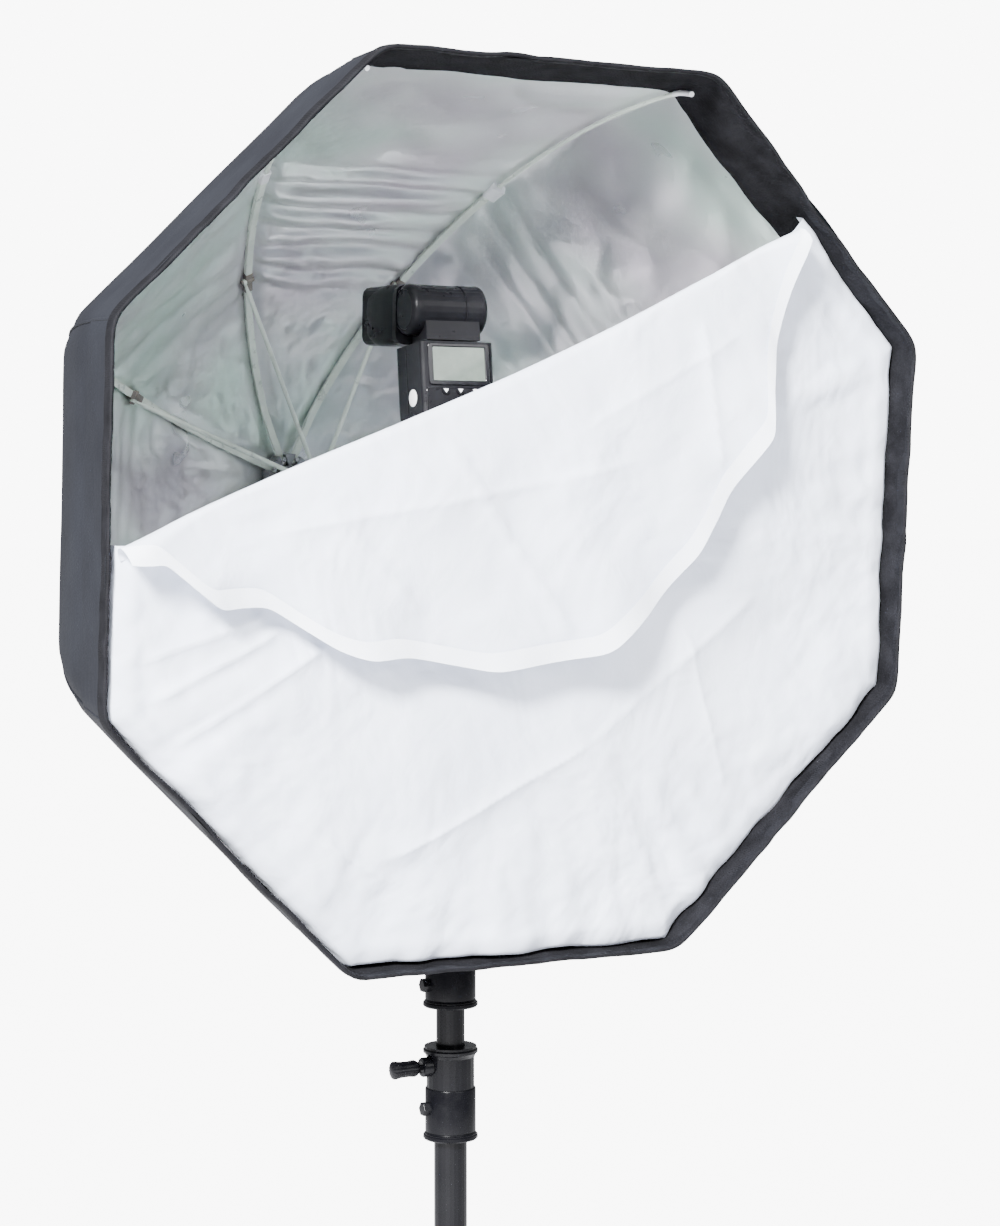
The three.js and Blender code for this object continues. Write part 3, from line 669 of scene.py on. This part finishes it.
def flap_surface(along, down):
    """Points of the peeled corner: down is the length of cloth past the fold's far edge."""
    radius = roll_radius(along)
    turn = np.clip(down / (math.pi * radius), 0, 1) * math.pi
    hang = np.maximum(down - math.pi * radius, 0)
    slack = soft(hang / 0.06)
    flat = spots(along, hang)
    lift = slack * (0.0055 * layered(flat / 0.16, 2, 81) + 0.0020 * layered(flat / 0.05, 2, 87))
    for a, b, height in FLAP_FOLDS:
        distance, t = segment_distance(along, hang, a, b)
        lift += 4.0 * height * soft(t / 0.15) * soft((1 - t) / 0.15) * np.exp(-distance / 0.007)
    hem = np.array(HEM)
    towards_hem = np.clip(hang / np.maximum(np.interp(along, hem[:, 0], hem[:, 1]), 0.02), 0, 1)
    flute = np.sin(along * 33 + 1.3) * 0.5 + np.sin(along * 61 + 0.4) * 0.35
    lift += 0.010 * flute * towards_hem**2.2 * soft(hang / 0.05)
    beyond = radius * np.sin(turn) - hang * math.cos(HANG)
    front = -radius * (1 - np.cos(turn)) - hang * math.sin(HANG) * 0.9 - np.maximum(lift, -hang * 0.07)
    x, z = chord_point(along, beyond - radius)
    return x, front, z


def make_peeled_cloth():
    """Stretched cloth between the centre and the fold, the fold's roll and the hanging corner."""
    columns = 230
    along = fold_places(columns) * CHORD_HALF * 0.997
    hang_along = np.interp(along, (along[0], along[-1]), (HEM[0][0], HEM[-1][0]))
    radius = roll_radius(hang_along)
    end_x, end_z = chord_point(along, -radius)
    share = np.linspace(0, 1, RINGS)
    x = share[:, None] * end_x
    z = share[:, None] * end_z
    stretched = spots(x, front_depth(x, z), z)
    edge_depth = stretched[-1, :, 1]
    length = hem_distance(hang_along) + math.pi * radius
    rows = []
    for step in np.concatenate([np.linspace(0.004, 0.03, 4) / 0.2 * 0.5, np.linspace(0.10, 1, 90)]):
        down = step * length
        px, front, pz = flap_surface(hang_along, down)
        ease = np.exp(-down / 0.02)
        rows.append(spots(px, front + edge_depth * (0.25 + 0.75 * ease) * 0.6, pz))
    rows = np.array(rows)
    grid = np.concatenate([stretched, rows])
    world = umbrella_points(grid)
    normals = grid_normals(world)
    normals[:2] = -BACKWARD
    if normals[RINGS // 2, columns // 2] @ BACKWARD > 0:
        normals[2:] = -normals[2:]
    piece = new_object("front_cloth_peeled", world.reshape(-1, 3), grid_faces(*world.shape[:2]), "white",
                       normals=normals.reshape(-1, 3))
    follow = np.zeros(world.shape[:2])
    follow[RINGS:] = soft(np.linspace(0, 1, len(rows)) * 12)[:, None]
    blend_to(piece)
    hem = make_hem(world, len(along) // 2)
    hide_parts("diffuser_flap")


def make_hem(world, middle_column):
    """Tape sewn along the peeled corner's edge."""
    rows = []
    last = world[-1]
    for width in (0.017, 0.011, 0.005, 0.0):
        distance = np.linalg.norm(world[RINGS:] - last[None], axis=-1)
        row = []
        for column in range(world.shape[1]):
            reach = distance[::-1, column]
            steps = world[RINGS:][::-1, column]
            row.append([np.interp(width, reach, steps[:, axis]) for axis in range(3)])
        rows.append(row)
    grid = np.array(rows)
    face = grid_normals(grid)
    if face[1, middle_column] @ BACKWARD > 0:
        face = -face
    front = grid + face * 0.0010
    hem = new_object("front_cloth_hem", front.reshape(-1, 3), grid_faces(*front.shape[:2]), "hem",
                     normals=face.reshape(-1, 3))
    blend_to(hem)
    return hem


# ---------- hard pieces: shapes in millimetres in a frame of their own ----------

AXES = np.eye(3)
HEAD_AXIS = 170                   # heights and depths on the flash, millimetres
DIAL_AXIS = 73
FLASH_FRONT = -26.0
FLASH = (np.array(HEAD_PIVOT - FLASH_UP * HEAD_AXIS * MM), np.array([RIGHT, FLASH_BACK, FLASH_UP]))
FLASH[0][0] = 0
RISE = math.radians(8)
RAISED_BACK = FLASH_BACK * math.cos(RISE) + FLASH_UP * math.sin(RISE)
RAISED_UP = FLASH_UP * math.cos(RISE) - FLASH_BACK * math.sin(RISE)
HEAD = (FLASH[0] + np.array(FLASH_UP - RAISED_UP) * HEAD_AXIS * MM,
        np.array([RIGHT, RAISED_BACK, RAISED_UP]))
STAND = (np.array([POLE.x, POLE.y, 0]), AXES)
SOCKET = (np.array(JOINTS["bracket_tilt"]["pos_m"]) * np.array([0, 1, 1]), AXES)
HEAD_BLOCK = (SOCKET[0], UMBRELLA_AXES)
UMBRELLA = (np.array(MOUTH), UMBRELLA_AXES)


def radial_frame(index):
    """Frame of one rib: out from the axis, depth behind the mouth, sideways."""
    angle = rib_angle(index)
    outward = RIGHTWARD * math.cos(angle) + UPWARD * math.sin(angle)
    sideways = UPWARD * math.cos(angle) - RIGHTWARD * math.sin(angle)
    return np.array(MOUTH), np.array([outward, BACKWARD, sideways])


def placed(points, place):
    origin, axes = place
    return np.asarray(points, float) * MM @ axes + origin


def side_faces(rings, count, closed=False):
    """Faces between rings of count points each, and from the last ring to the first when closed."""
    faces = []
    for row in range(rings if closed else rings - 1):
        start, following = row * count, (row + 1) % rings * count
        for k in range(count):
            j = (k + 1) % count
            faces.append((start + k, start + j, following + j, following + k))
    return faces


def end_faces(rings, count):
    return [tuple(range(count))[::-1], tuple(range((rings - 1) * count, rings * count))]


def lathe(profile, axis="z", centre=(0, 0, 0), steps=40, ripple=0, ridges=0):
    """Turned shape from (radius, height) pairs, with ridges along it where ripple isn't zero."""
    points = []
    for radius, height in profile:
        for k in range(steps):
            angle = 2 * math.pi * k / steps
            reach = radius * (1 + ripple * (0.5 + 0.5 * math.cos(angle * ridges)))
            u, v = reach * math.cos(angle), reach * math.sin(angle)
            point = {"z": (u, v, height), "x": (height, u, v), "y": (v, height, u)}[axis]
            points.append([point[i] + centre[i] for i in range(3)])
    return points, side_faces(len(profile), steps) + end_faces(len(profile), steps)


def ring_lathe(profile, axis="z", centre=(0, 0, 0), steps=40):
    """Turned ring whose (radius, height) outline closes on itself."""
    points, _ = lathe(profile, axis, centre, steps)
    return points, side_faces(len(profile), steps, closed=True)


def loft(sections):
    """Closed shape through rings of points of equal count."""
    points = [point for ring in sections for point in ring]
    rings, count = len(sections), len(sections[0])
    return points, side_faces(rings, count) + end_faces(rings, count)


def rounded_ring(u0, u1, v0, v1, radius, steps=6):
    """Corner-rounded rectangle as (u, v) points."""
    ring = []
    for cu, cv, start in ((u1 - radius, v1 - radius, 0), (u0 + radius, v1 - radius, 90),
                          (u0 + radius, v0 + radius, 180), (u1 - radius, v0 + radius, 270)):
        for k in range(steps + 1):
            angle = math.radians(start + 90 * k / steps)
            ring.append((cu + radius * math.cos(angle), cv + radius * math.sin(angle)))
    return ring


def oval_ring(half_u, half_v, steps):
    """Points round an oval, from its +u end."""
    angles = [2 * math.pi * k / steps for k in range(steps)]
    return [(half_u * math.cos(t), half_v * math.sin(t)) for t in angles]


def slab(x0, x1, y0, y1, z0, z1, radius=1.0, along="y", steps=4):
    """Block with corners rounded about one axis and slightly drawn-in ends."""
    spans = {"x": ((y0, y1), (z0, z1), (x0, x1)), "y": ((x0, x1), (z0, z1), (y0, y1)),
             "z": ((x0, x1), (y0, y1), (z0, z1))}[along]
    (u0, u1), (v0, v1), (w0, w1) = spans
    draw = min(radius * 0.6, (w1 - w0) / 3)
    sections = []
    for w, inset in ((w0, draw), (w0 + draw * 0.3, draw * 0.3), (w0 + draw, 0), (w1 - draw, 0),
                     (w1 - draw * 0.3, draw * 0.3), (w1, draw)):
        ring = rounded_ring(u0 + inset, u1 - inset, v0 + inset, v1 - inset, radius, steps)
        order = {"x": lambda u, v, w: (w, u, v), "y": lambda u, v, w: (u, w, v),
                 "z": lambda u, v, w: (u, v, w)}[along]
        sections.append([order(u, v, w) for u, v in ring])
    return loft(sections)


def sweep(path, side, section):
    """Section of (sideways, inward) points carried along a path that stays square to side."""
    path = np.asarray(path, float)
    side = np.asarray(side, float)
    run = np.gradient(path, axis=0)
    run /= np.linalg.norm(run, axis=1, keepdims=True)
    inward = np.cross(side, run)
    rings = [[path[k] + side * u + inward[k] * v for u, v in section] for k in range(len(path))]
    return loft(rings)


def hard_piece(name, place, look, body, shapes, rounding=0.0, replaces=(), crease=35):
    """One object from several closed shapes, riding on a body."""
    points, faces = [], []
    for shape_points, shape_faces in shapes:
        start = len(points)
        points.extend(shape_points)
        faces.extend(tuple(start + k for k in face) for face in shape_faces)
    made = new_object(name, placed(points, place), faces, look)
    tidy = bmesh.new()
    tidy.from_mesh(made.data)
    bmesh.ops.recalc_face_normals(tidy, faces=tidy.faces)
    tidy.to_mesh(made.data)
    tidy.free()
    made.data.set_sharp_from_angle(angle=math.radians(crease))
    if rounding:
        round_edges(made, rounding)
    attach(made, body)
    if replaces:
        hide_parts(*replaces)
    return made


def round_edges(piece, width, segments=3):
    rounding = piece.modifiers.new("rounding", "BEVEL")
    rounding.width = width * MM
    rounding.segments = segments
    rounding.limit_method = "ANGLE"
    rounding.angle_limit = math.radians(38)
    rounding.harden_normals = True


# CAD nodes that stay in view: look, edge rounding in millimetres, names
DRESSED = (
    ("hub", 0.4, ("crown", "runner")),
    ("dark_metal", 0.4, ("shaft", "cold_shoe")),
    ("plastic", 0.4, ("button_left", "button_middle", "button_right")),
    ("plastic", 0.5, ("lock_ring", "control_dial")),
    ("plastic", 0.8, ("ferrule", "flash_foot", "flash_neck")),
    ("plastic", 1.0, ("bracket_socket", "tilt_head", "tilt_lever")),
    ("plastic", 1.2, ("flash_body", "flash_head")),
    ("screen", 0.3, ("screen",)),
    ("lens", 0.6, ("head_lens",)),
    ("satin", 0.5, ("lower_tube", "middle_tube", "upper_tube", "brace_1", "brace_2", "brace_3")),
    ("satin", 0.8, ("lower_collar", "upper_collar", "leg_collar", "brace_collar")),
    ("satin", 1.2, ("leg_1", "leg_2", "leg_3")),
    ("rubber", 1.5, ("foot_1", "foot_2", "foot_3")),
)


def dress_nodes():
    """Gives CAD nodes their materials, smooth shading and rounded edges."""
    for look, rounding, names in DRESSED:
        for name in names:
            node = NODES[name]
            node.data.materials.clear()
            node.data.materials.append(LOOK[look])
            node.data.polygons.foreach_set("use_smooth", [True] * len(node.data.polygons))
            node.data.set_sharp_from_angle(angle=math.radians(30))
            round_edges(node, rounding)


# ---------- ribs, stretchers and hubs ----------

RIB_INSET = 5.6
JOINT = (204.0, 435.5)
RUNNER = (15.0, 425.0)
ASIDE = 4.6
CHANNEL_END = 303.0


def dome_path(inset, depths):
    """(out, depth) points of a line that runs a fixed distance inside the dome, in millimetres."""
    fine = np.linspace(0.0, 0.9999, 3000) * DOME_DEPTH
    radius = DOME_RADIUS * np.sqrt(1 - (fine / DOME_DEPTH) ** DOME_POWER)
    slope_r, slope_a = np.gradient(radius), np.gradient(fine)
    length = np.hypot(slope_r, slope_a)
    r = radius - slope_a / length * inset * MM
    a = fine + slope_r / length * inset * MM
    return np.stack([np.interp(depths, a / MM, r / MM), np.asarray(depths, float)], axis=-1)


def in_plane(pairs, aside=0.0):
    return [(r, a, aside) for r, a in pairs]


def rib_line():
    depths = np.concatenate([np.linspace(511, 480, 8), np.linspace(474, 50, 60)])
    line = dome_path(RIB_INSET, depths)
    return line[line[:, 0] > 14]


def make_ribs():
    line = rib_line()
    inner = line[line[:, 0] < CHANNEL_END + 6]
    outer = line[line[:, 0] > CHANNEL_END - 4]
    inner = np.concatenate([[(10.5, 512.0)], inner])
    channel = [(-3.2, -1.9), (3.2, -1.9), (3.2, 2.3), (2.3, 2.3), (2.3, -1.0), (-2.3, -1.0),
               (-2.3, 2.3), (-3.2, 2.3)]
    rod = oval_ring(1.9, 1.9, 12)
    tip = oval_ring(2.3, 2.3, 16)
    side = (0, 0, 1)
    for i in range(RIB_COUNT):
        place = radial_frame(i)
        body = f"rib_{i + 1}"
        rib = hard_piece(f"rib_rod_{i + 1}", place, "rod", body,
                         [sweep(in_plane(inner), side, channel), sweep(in_plane(outer), side, rod)])
        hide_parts(body)
        end_r, end_a = line[-1]
        reach = 20 if i == 1 else 6
        cap = [(end_r - 1.0, end_a + 9, 0), (end_r - 0.6, end_a, 0), (end_r - 1.5, end_a - reach / 2, 0),
               (end_r - 3, end_a - reach, 0)]
        clip = line[(line[:, 0] > CHANNEL_END - 7) & (line[:, 0] < CHANNEL_END + 7)]
        clip_half, clip_low = (6.5, -5.5) if i == 1 else (4.2, -2.8)
        clip_section = rounded_ring(-clip_half, clip_half, clip_low, 3.2, 1.6, 3)
        hard_piece(f"rib_tip_{i + 1}", place, "white_plastic", body,
                   [sweep(cap, side, tip), sweep(in_plane(clip), side, clip_section)])
        near = line[(line[:, 0] > JOINT[0] - 12) & (line[:, 0] < JOINT[0] + 9)]
        saddle = rounded_ring(-3.9, 3.9, -2.5, 3.4, 1.0, 2)
        rivet = lathe([(0.4, -5.4), (2.2, -5.2), (2.5, -4.4), (2.5, 7.4), (2.2, 8.0), (0.4, 8.2)], "z",
                      (JOINT[0], JOINT[1], 0), 16)
        joint = [sweep(in_plane(near), side, saddle), rivet]
        hard_piece(f"rib_joint_{i + 1}", place, "rod_joint", body, joint)


def make_rib_seams():
    """Bound seam over each rib, outside the cloth."""
    depths = np.linspace(68, 508, 60)
    back = dome_path(-0.4, depths)
    front = np.array([[399.4, 3], [399.0, 8], [396.4, 36], [393.6, 64]])
    line = np.concatenate([front, back])
    cord_section = oval_ring(1.5, 1.0, 10)
    for i in range(RIB_COUNT):
        place = radial_frame(i)
        seam = sweep(in_plane(line), (0, 0, 1), cord_section)
        hard_piece(f"rib_seam_{i + 1}", place, "nylon", f"rib_{i + 1}", [seam])


def make_stretchers():
    run = np.array([JOINT[0] - RUNNER[0], JOINT[1] - RUNNER[1]])
    length = float(np.hypot(*run))
    run /= length
    steps = np.array([0.0, 0.02, 0.05, 0.5, 0.93, 0.97, 1.0])
    widths = [(1.9, 1.3), (2.0, 1.4), (2.3, 1.5), (2.3, 1.5), (2.3, 1.5), (1.3, 2.2), (1.1, 2.4)]
    for i in range(RIB_COUNT):
        rings = []
        for step, (half_w, half_h) in zip(steps, widths):
            centre = np.array(RUNNER) + run * (length * step)
            across = np.array([-run[1], run[0]])
            ring = []
            for u, v in oval_ring(half_w, half_h, 12):
                r, a = centre + across * v
                ring.append((r, a, ASIDE + u))
            rings.append(ring)
        eye = lathe([(0.4, ASIDE - 1.5), (2.8, ASIDE - 1.5), (2.8, ASIDE + 1.5), (0.4, ASIDE + 1.5)], "z",
                    (JOINT[0], JOINT[1], 0), 16)
        body = f"stretcher_{i + 1}"
        rod = hard_piece(f"stretcher_rod_{i + 1}", radial_frame(i), "rod", body, [loft(rings), eye])
        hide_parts(body)


def make_hubs():
    for i in range(RIB_COUNT):
        place = radial_frame(i)
        pin = lathe([(0.3, -3.4), (1.5, -3.2), (1.7, 0), (1.5, 3.2), (0.3, 3.4)], "z", (13, 509.5, 0), 14)
        spot = lathe([(0.3, 501.4), (1.6, 501.5), (2.1, 502.2), (2.1, 504)], "y", (17.5, 0, 0), 16)
        hard_piece(f"crown_pin_{i + 1}", place, "bright_metal", "umbrella", [pin, spot])
        axle = lathe([(0.3, ASIDE - 2.7), (1.2, ASIDE - 2.5), (1.2, ASIDE + 2.5), (0.3, ASIDE + 2.7)], "z",
                     (RUNNER[0], RUNNER[1], 0), 14)
        hard_piece(f"runner_pin_{i + 1}", place, "bright_metal", "runner", [axle])
    grip = lathe([(5.9, 352), (8.6, 352.6), (9.2, 356), (9.0, 372), (9.4, 391), (8.8, 392.4),
                  (5.9, 392.6)], "y", steps=48, ripple=0.05, ridges=16)
    hard_piece("runner_grip", UMBRELLA, "plastic", "runner", [grip])


# ---------- flash ----------


def frame_shape(outer, inner, y0, y1, lip=0.6):
    """Flat ring between two rounded rectangles (x0, x1, z0, z1, radius), y0 its face."""
    inset = np.array([lip, -lip, lip, -lip, 0])
    outer, inner = np.array(outer, float), np.array(inner, float)
    points = []
    for outline, y in ((outer, y1), (outer, y0 + lip), (outer + inset, y0), (inner - inset, y0),
                       (inner, y0 + lip), (inner, y1)):
        points += [(x, y, z) for x, z in rounded_ring(*outline, 5)]
    return points, side_faces(6, len(points) // 6, closed=True)


def make_flash_body_details():
    bezel = frame_shape((-29.5, 29.5, 101, 137.2, 2.5), (-25.2, 25.2, 104.9, 134.1, 1.2),
                        FLASH_FRONT - 1.4, FLASH_FRONT + 0.5)
    hard_piece("screen_bezel", FLASH, "gloss", "flash", [bezel])
    panel = frame_shape((-32.5, 32.5, 48.5, 99.6, 4), (-31.2, 31.2, 49.8, 98.3, 3.2),
                        FLASH_FRONT - 0.5, FLASH_FRONT + 0.4, 0.3)
    hard_piece("front_panel_line", FLASH, "gloss", "flash", [panel])
    for side, x in (("left", -14), ("middle", 0), ("right", 14)):
        ring = [(x - 2.4, 97.6), (x + 2.4, 97.6), (x, 94.2)]
        mark = loft([[(u, y, v) for u, v in ring] for y in (FLASH_FRONT - 1.3, FLASH_FRONT - 1.65)])
        hard_piece(f"button_mark_{side}", FLASH, "white_plastic", f"button_{side}", [mark])
    oval = []
    for x, radius in ((-34.7, 7.4), (-35.2, 7.4), (-35.4, 7.4 * 0.93)):
        oval.append([(x, u - 5, v + 92) for u, v in oval_ring(radius, radius, 40)])
    hard_piece("side_oval", FLASH, "white_plastic", "flash", [loft(oval)])
    seams = []
    for x, sign in ((-35.05, -1), (35.05, 1)):
        seams.append(slab(min(x, x + sign * 0.35), max(x, x + sign * 0.35), 4.0, 4.9, 50, 137, 0.3, "x", 2))
    hard_piece("body_seams", FLASH, "gloss", "flash", seams)
    ribs = [slab(-26, 26, 25.6, 27.0, z, z + 1.6, 0.5, "y", 2) for z in range(56, 76, 4)]
    hard_piece("back_grip_ribs", FLASH, "plastic", "flash", ribs)
    window = [slab(-20, 20, 25.4, 27.4, 96, 128, 4, "y", 5)]
    hard_piece("sensor_window", FLASH, "gloss", "flash", window)
    spokes = lathe([(3, -28.4), (10.6, -28.3), (11, -27.4), (11, -26.2), (3, -26)], "y",
                   (0, 0, DIAL_AXIS), 72, 0.035, 24)
    hard_piece("dial_rim", FLASH, "plastic", "control_dial", [spokes])
    cap = lathe([(0.4, -29.3), (6.2, -29.2), (6.9, -28.6), (6.9, -27.5), (0.4, -27.4)], "y",
                (0, 0, DIAL_AXIS), 40)
    hard_piece("dial_button", FLASH, "grey", "control_dial", [cap])


def make_flash_head_details():
    caps = []
    for sign, outer in ((-1, 9.6), (1, 6.4)):
        profile = [(22.0, 28.6), (22.3, 29.0 + outer * 0.35), (21.6, 29.0 + outer * 0.6),
                   (19.8, 29.0 + outer * 0.82), (17.8, 29.0 + outer * 0.90), (17.3, 29.0 + outer * 0.84),
                   (16.7, 29.0 + outer * 0.90), (9, 28.8 + outer), (0.4, 29.0 + outer)]
        caps.append(lathe([(r, sign * x) for r, x in profile], "x", (0, 0, HEAD_AXIS), 64))
    hard_piece("head_pivot_caps", FLASH, "plastic", "flash_head", caps)
    sections = []
    for y, half, bottom, top, radius in ((14, 38.0, 142.6, 191.6, 8), (20, 39.2, 140.2, 192.8, 8.5),
                                         (40, 39.6, 139.2, 192.8, 9), (58, 39.6, 139.2, 191.4, 9.5),
                                         (68, 39.3, 139.9, 189.8, 11), (74, 38.4, 141.9, 187.0, 12),
                                         (78, 37.0, 143.9, 184.6, 12), (79.4, 35.4, 146.0, 182.4, 11)):
        sections.append([(x, y, z) for x, z in rounded_ring(-half, half, bottom, top, radius, 7)])
    hard_piece("head_shell", HEAD, "plastic", "flash_head", [loft(sections)])
    rim = frame_shape((-36.4, 36.4, 145, 183, 6), (-33.4, 33.4, 148.5, 179.5, 4), 80.4, 78.5, -0.5)
    hard_piece("lens_rim", HEAD, "gloss", "flash_head", [rim])
    fresnel = [slab(-33, 33, 78.8, 80.0, 149 + 3 * k, 151.6 + 3 * k, 0.5, "y", 2) for k in range(10)]
    hard_piece("lens_ridges", HEAD, "lens", "flash_head", fresnel)
    release = slab(26.2, 28.0, -4, 6, 144, 151, 1.5, "x", 4)
    hard_piece("neck_release", FLASH, "grey", "flash_neck", [release])


# ---------- bracket and stand ----------


def thumb_screw(name, place, look, body, start, axis_sign, stem, knob, centre, replaces):
    """Knurled, waisted thumb screw on the x axis with a plain stem."""
    profile = [(2.5, 0), (2.5, stem), (5.4, stem), (6.2, stem + 1)]
    grip = [(6.4, stem + 1), (7.6, stem + 4), (7.0, stem + knob * 0.35), (7.2, stem + knob * 0.7),
            (8.1, stem + knob - 2.5), (7.4, stem + knob - 0.8), (5.0, stem + knob),
            (0.4, stem + knob + 0.3)]
    shapes = []
    for part, ripple, ridges, steps in ((profile, 0, 0, 32), (grip, -0.07, 14, 84)):
        outline = [(r, start + axis_sign * h) for r, h in part]
        shapes.append(lathe(outline, "x", centre, steps, ripple, ridges))
    hard_piece(name, place, look, body, shapes, replaces=[replaces])


def make_bracket():
    thumb_screw("socket_thumb_screw", SOCKET, "plastic", "socket_clamp", 9, 1, 7, 20, (0, 0, -44),
                "socket_screw")
    thumb_screw("umbrella_thumb_screw", HEAD_BLOCK, "plastic", "shaft_clamp", -6.2, -1, 11, 18,
                (0, 0, 40), "umbrella_screw")
    washer = ring_lathe([(9.2, 12.2), (9.2, 13.4), (3.4, 13.4), (3.4, 12.2)], "x", (0, 0, 0), 36)
    hard_piece("tilt_washer", SOCKET, "bright_metal", "tilt_clamp", [washer])


def collar_details(name, z0, z1, knob_z, body):
    """End lips, a seam ring, the screw's boss ring and the clamp's hex nut on a stand collar."""
    shapes = []
    for z, flare in ((z0, -1), (z1, 1)):
        lip = [(20.6, 8), (21.6, 7), (22.2, 5.2), (24.0, 3.6), (24.2, 1.2), (23.2, 0), (15.6, -0.3),
               (15.6, 8)]
        shapes.append(ring_lathe([(r, z - flare * below) for r, below in lip], "z", steps=64))
    step = knob_z - 20
    sleeve = [(20.5, step), (21.9, step), (22.3, step - 1), (22.3, z0 + 7), (20.5, z0 + 7)]
    shapes.append(ring_lathe(sleeve, "z", steps=64))
    hard_piece(f"{name}_rings", STAND, "satin", body, shapes)
    boss = lathe([(8.6, -20), (8.6, -27.4), (8.0, -28.6), (5.0, -28.8), (4.6, -28.2), (2.8, -28.2)], "x",
                 (0, 0, knob_z), 36)
    nut = lathe([(6.4, -20), (6.4, -27.6), (5.8, -28.4), (0.4, -28.6)], "x", (0, 0, knob_z - 37), 6)
    hard_piece(f"{name}_boss", STAND, "satin", body, [boss, nut], rounding=0.35)


# stand collars: name, body, bottom, top and screw heights, and the screw's start and stem length
COLLARS = (("lower", "lower_section", 687, 767, 752, -15.3, 17.2),
           ("upper", "middle_section", 804, 876, 861, -13.3, 19.2))


def make_stand():
    for which, section, z0, z1, knob_z, _, _ in COLLARS:
        collar_details(f"{which}_collar", z0, z1, knob_z, section)
    for which, _, _, _, knob_z, start, stem in COLLARS:
        thumb_screw(f"{which}_thumb_screw", STAND, "satin", f"{which}_clamp", start, -1, stem, 25,
                    (0, 0, knob_z), f"{which}_knob")


# ---------- camera, stage and light ----------


AZIMUTH = math.radians(-28.44)
ELEVATION = math.radians(2.52)
DISTANCE = 2.1635                 # camera to mouth, metres, then its shift to the left and down
SHIFT_LEFT = 0.03218
SHIFT_DOWN = 0.07555
LENS = 77.69
BACKDROP_STRENGTH = 9.0
# lights: name, offset from the middle of the mouth, size, power
LIGHTS = (("key", (-2.8, -2.4, 2.1), (0.8, 0.8), 1300),
          ("fill", (0.9, -3.4, 1.6), (2.6, 2.0), 90),
          ("top", (0.2, -0.3, 3.0), (2.5, 2.5), 90))


def make_camera():
    back = Vector((math.sin(AZIMUTH) * math.cos(ELEVATION), -math.cos(AZIMUTH) * math.cos(ELEVATION),
                   math.sin(ELEVATION)))
    right = Vector((math.cos(AZIMUTH), math.sin(AZIMUTH), 0))
    up = back.cross(right)
    data = bpy.data.cameras.new("camera")
    data.sensor_width = 36
    data.lens = LENS
    data.clip_end = 200
    camera = bpy.data.objects.new("camera", data)
    bpy.context.scene.collection.objects.link(camera)
    place = MOUTH + back * DISTANCE - right * SHIFT_LEFT - up * SHIFT_DOWN
    camera.matrix_world = Matrix.Translation(place) @ Matrix((right, up, back)).transposed().to_4x4()
    bpy.context.scene.camera = camera


def area_light(name, offset, size, power):
    """Soft light that points at the middle of the mouth."""
    data = bpy.data.lights.new(name, "AREA")
    data.shape = "RECTANGLE"
    data.size, data.size_y = size
    data.energy = power
    lamp = bpy.data.objects.new(name, data)
    lamp.location = MOUTH + Vector(offset)
    lamp.rotation_mode = "QUATERNION"
    lamp.rotation_quaternion = (MOUTH - lamp.location).to_track_quat("-Z", "Y")
    bpy.context.scene.collection.objects.link(lamp)


def make_floor():
    mesh = bpy.data.meshes.new("floor")
    reach = 60
    corners = [(-reach, -reach, 0), (reach, -reach, 0), (reach, reach, 0), (-reach, reach, 0)]
    mesh.from_pydata(corners, [], [(0, 1, 2, 3)])
    paint = Shader("pale_floor")
    paint.surface.inputs["Base Color"].default_value = (0.90, 0.90, 0.92, 1)
    paint.surface.inputs["Roughness"].default_value = 0.9
    white_out(paint.material.node_tree, paint.surface, paint.nodes["Material Output"], 0.98)
    mesh.materials.append(paint.material)
    floor = bpy.data.objects.new("floor", mesh)
    bpy.context.scene.collection.objects.link(floor)


def make_world():
    world = bpy.data.worlds.new("studio")
    world.use_nodes = True
    sky = world.node_tree.nodes["Background"]
    sky.inputs["Color"].default_value = (0.92, 0.95, 1.0, 1)
    sky.inputs["Strength"].default_value = 0.38
    white_out(world.node_tree, sky, world.node_tree.nodes["World Output"], 1.0)
    bpy.context.scene.world = world


def white_out(tree, shader, output, share):
    """Shows a backdrop nearly white to the camera, and leaves the light it gives the object alone."""
    kind = "ShaderNodeBackground" if output.type == "OUTPUT_WORLD" else "ShaderNodeEmission"
    paper = tree.nodes.new(kind)
    paper.inputs["Color"].default_value = (1, 1, 1, 1)
    paper.inputs["Strength"].default_value = BACKDROP_STRENGTH
    ray = tree.nodes.new("ShaderNodeLightPath")
    level = tree.nodes.new("ShaderNodeMath")
    level.operation = "MULTIPLY"
    level.inputs[1].default_value = share
    both = tree.nodes.new("ShaderNodeMixShader")
    tree.links.new(ray.outputs["Is Camera Ray"], level.inputs[0])
    tree.links.new(level.outputs[0], both.inputs["Fac"])
    tree.links.new(shader.outputs[0], both.inputs[1])
    tree.links.new(paper.outputs[0], both.inputs[2])
    tree.links.new(both.outputs["Shader"], output.inputs["Surface"])


make_camera()
make_floor()
make_world()
for light in LIGHTS:
    area_light(*light)
dress_nodes()
make_canopy()
make_band()
make_front_wedges()
make_peeled_cloth()
make_ribs()
make_rib_seams()
make_stretchers()
make_hubs()
make_flash_body_details()
make_flash_head_details()
make_bracket()
make_stand()
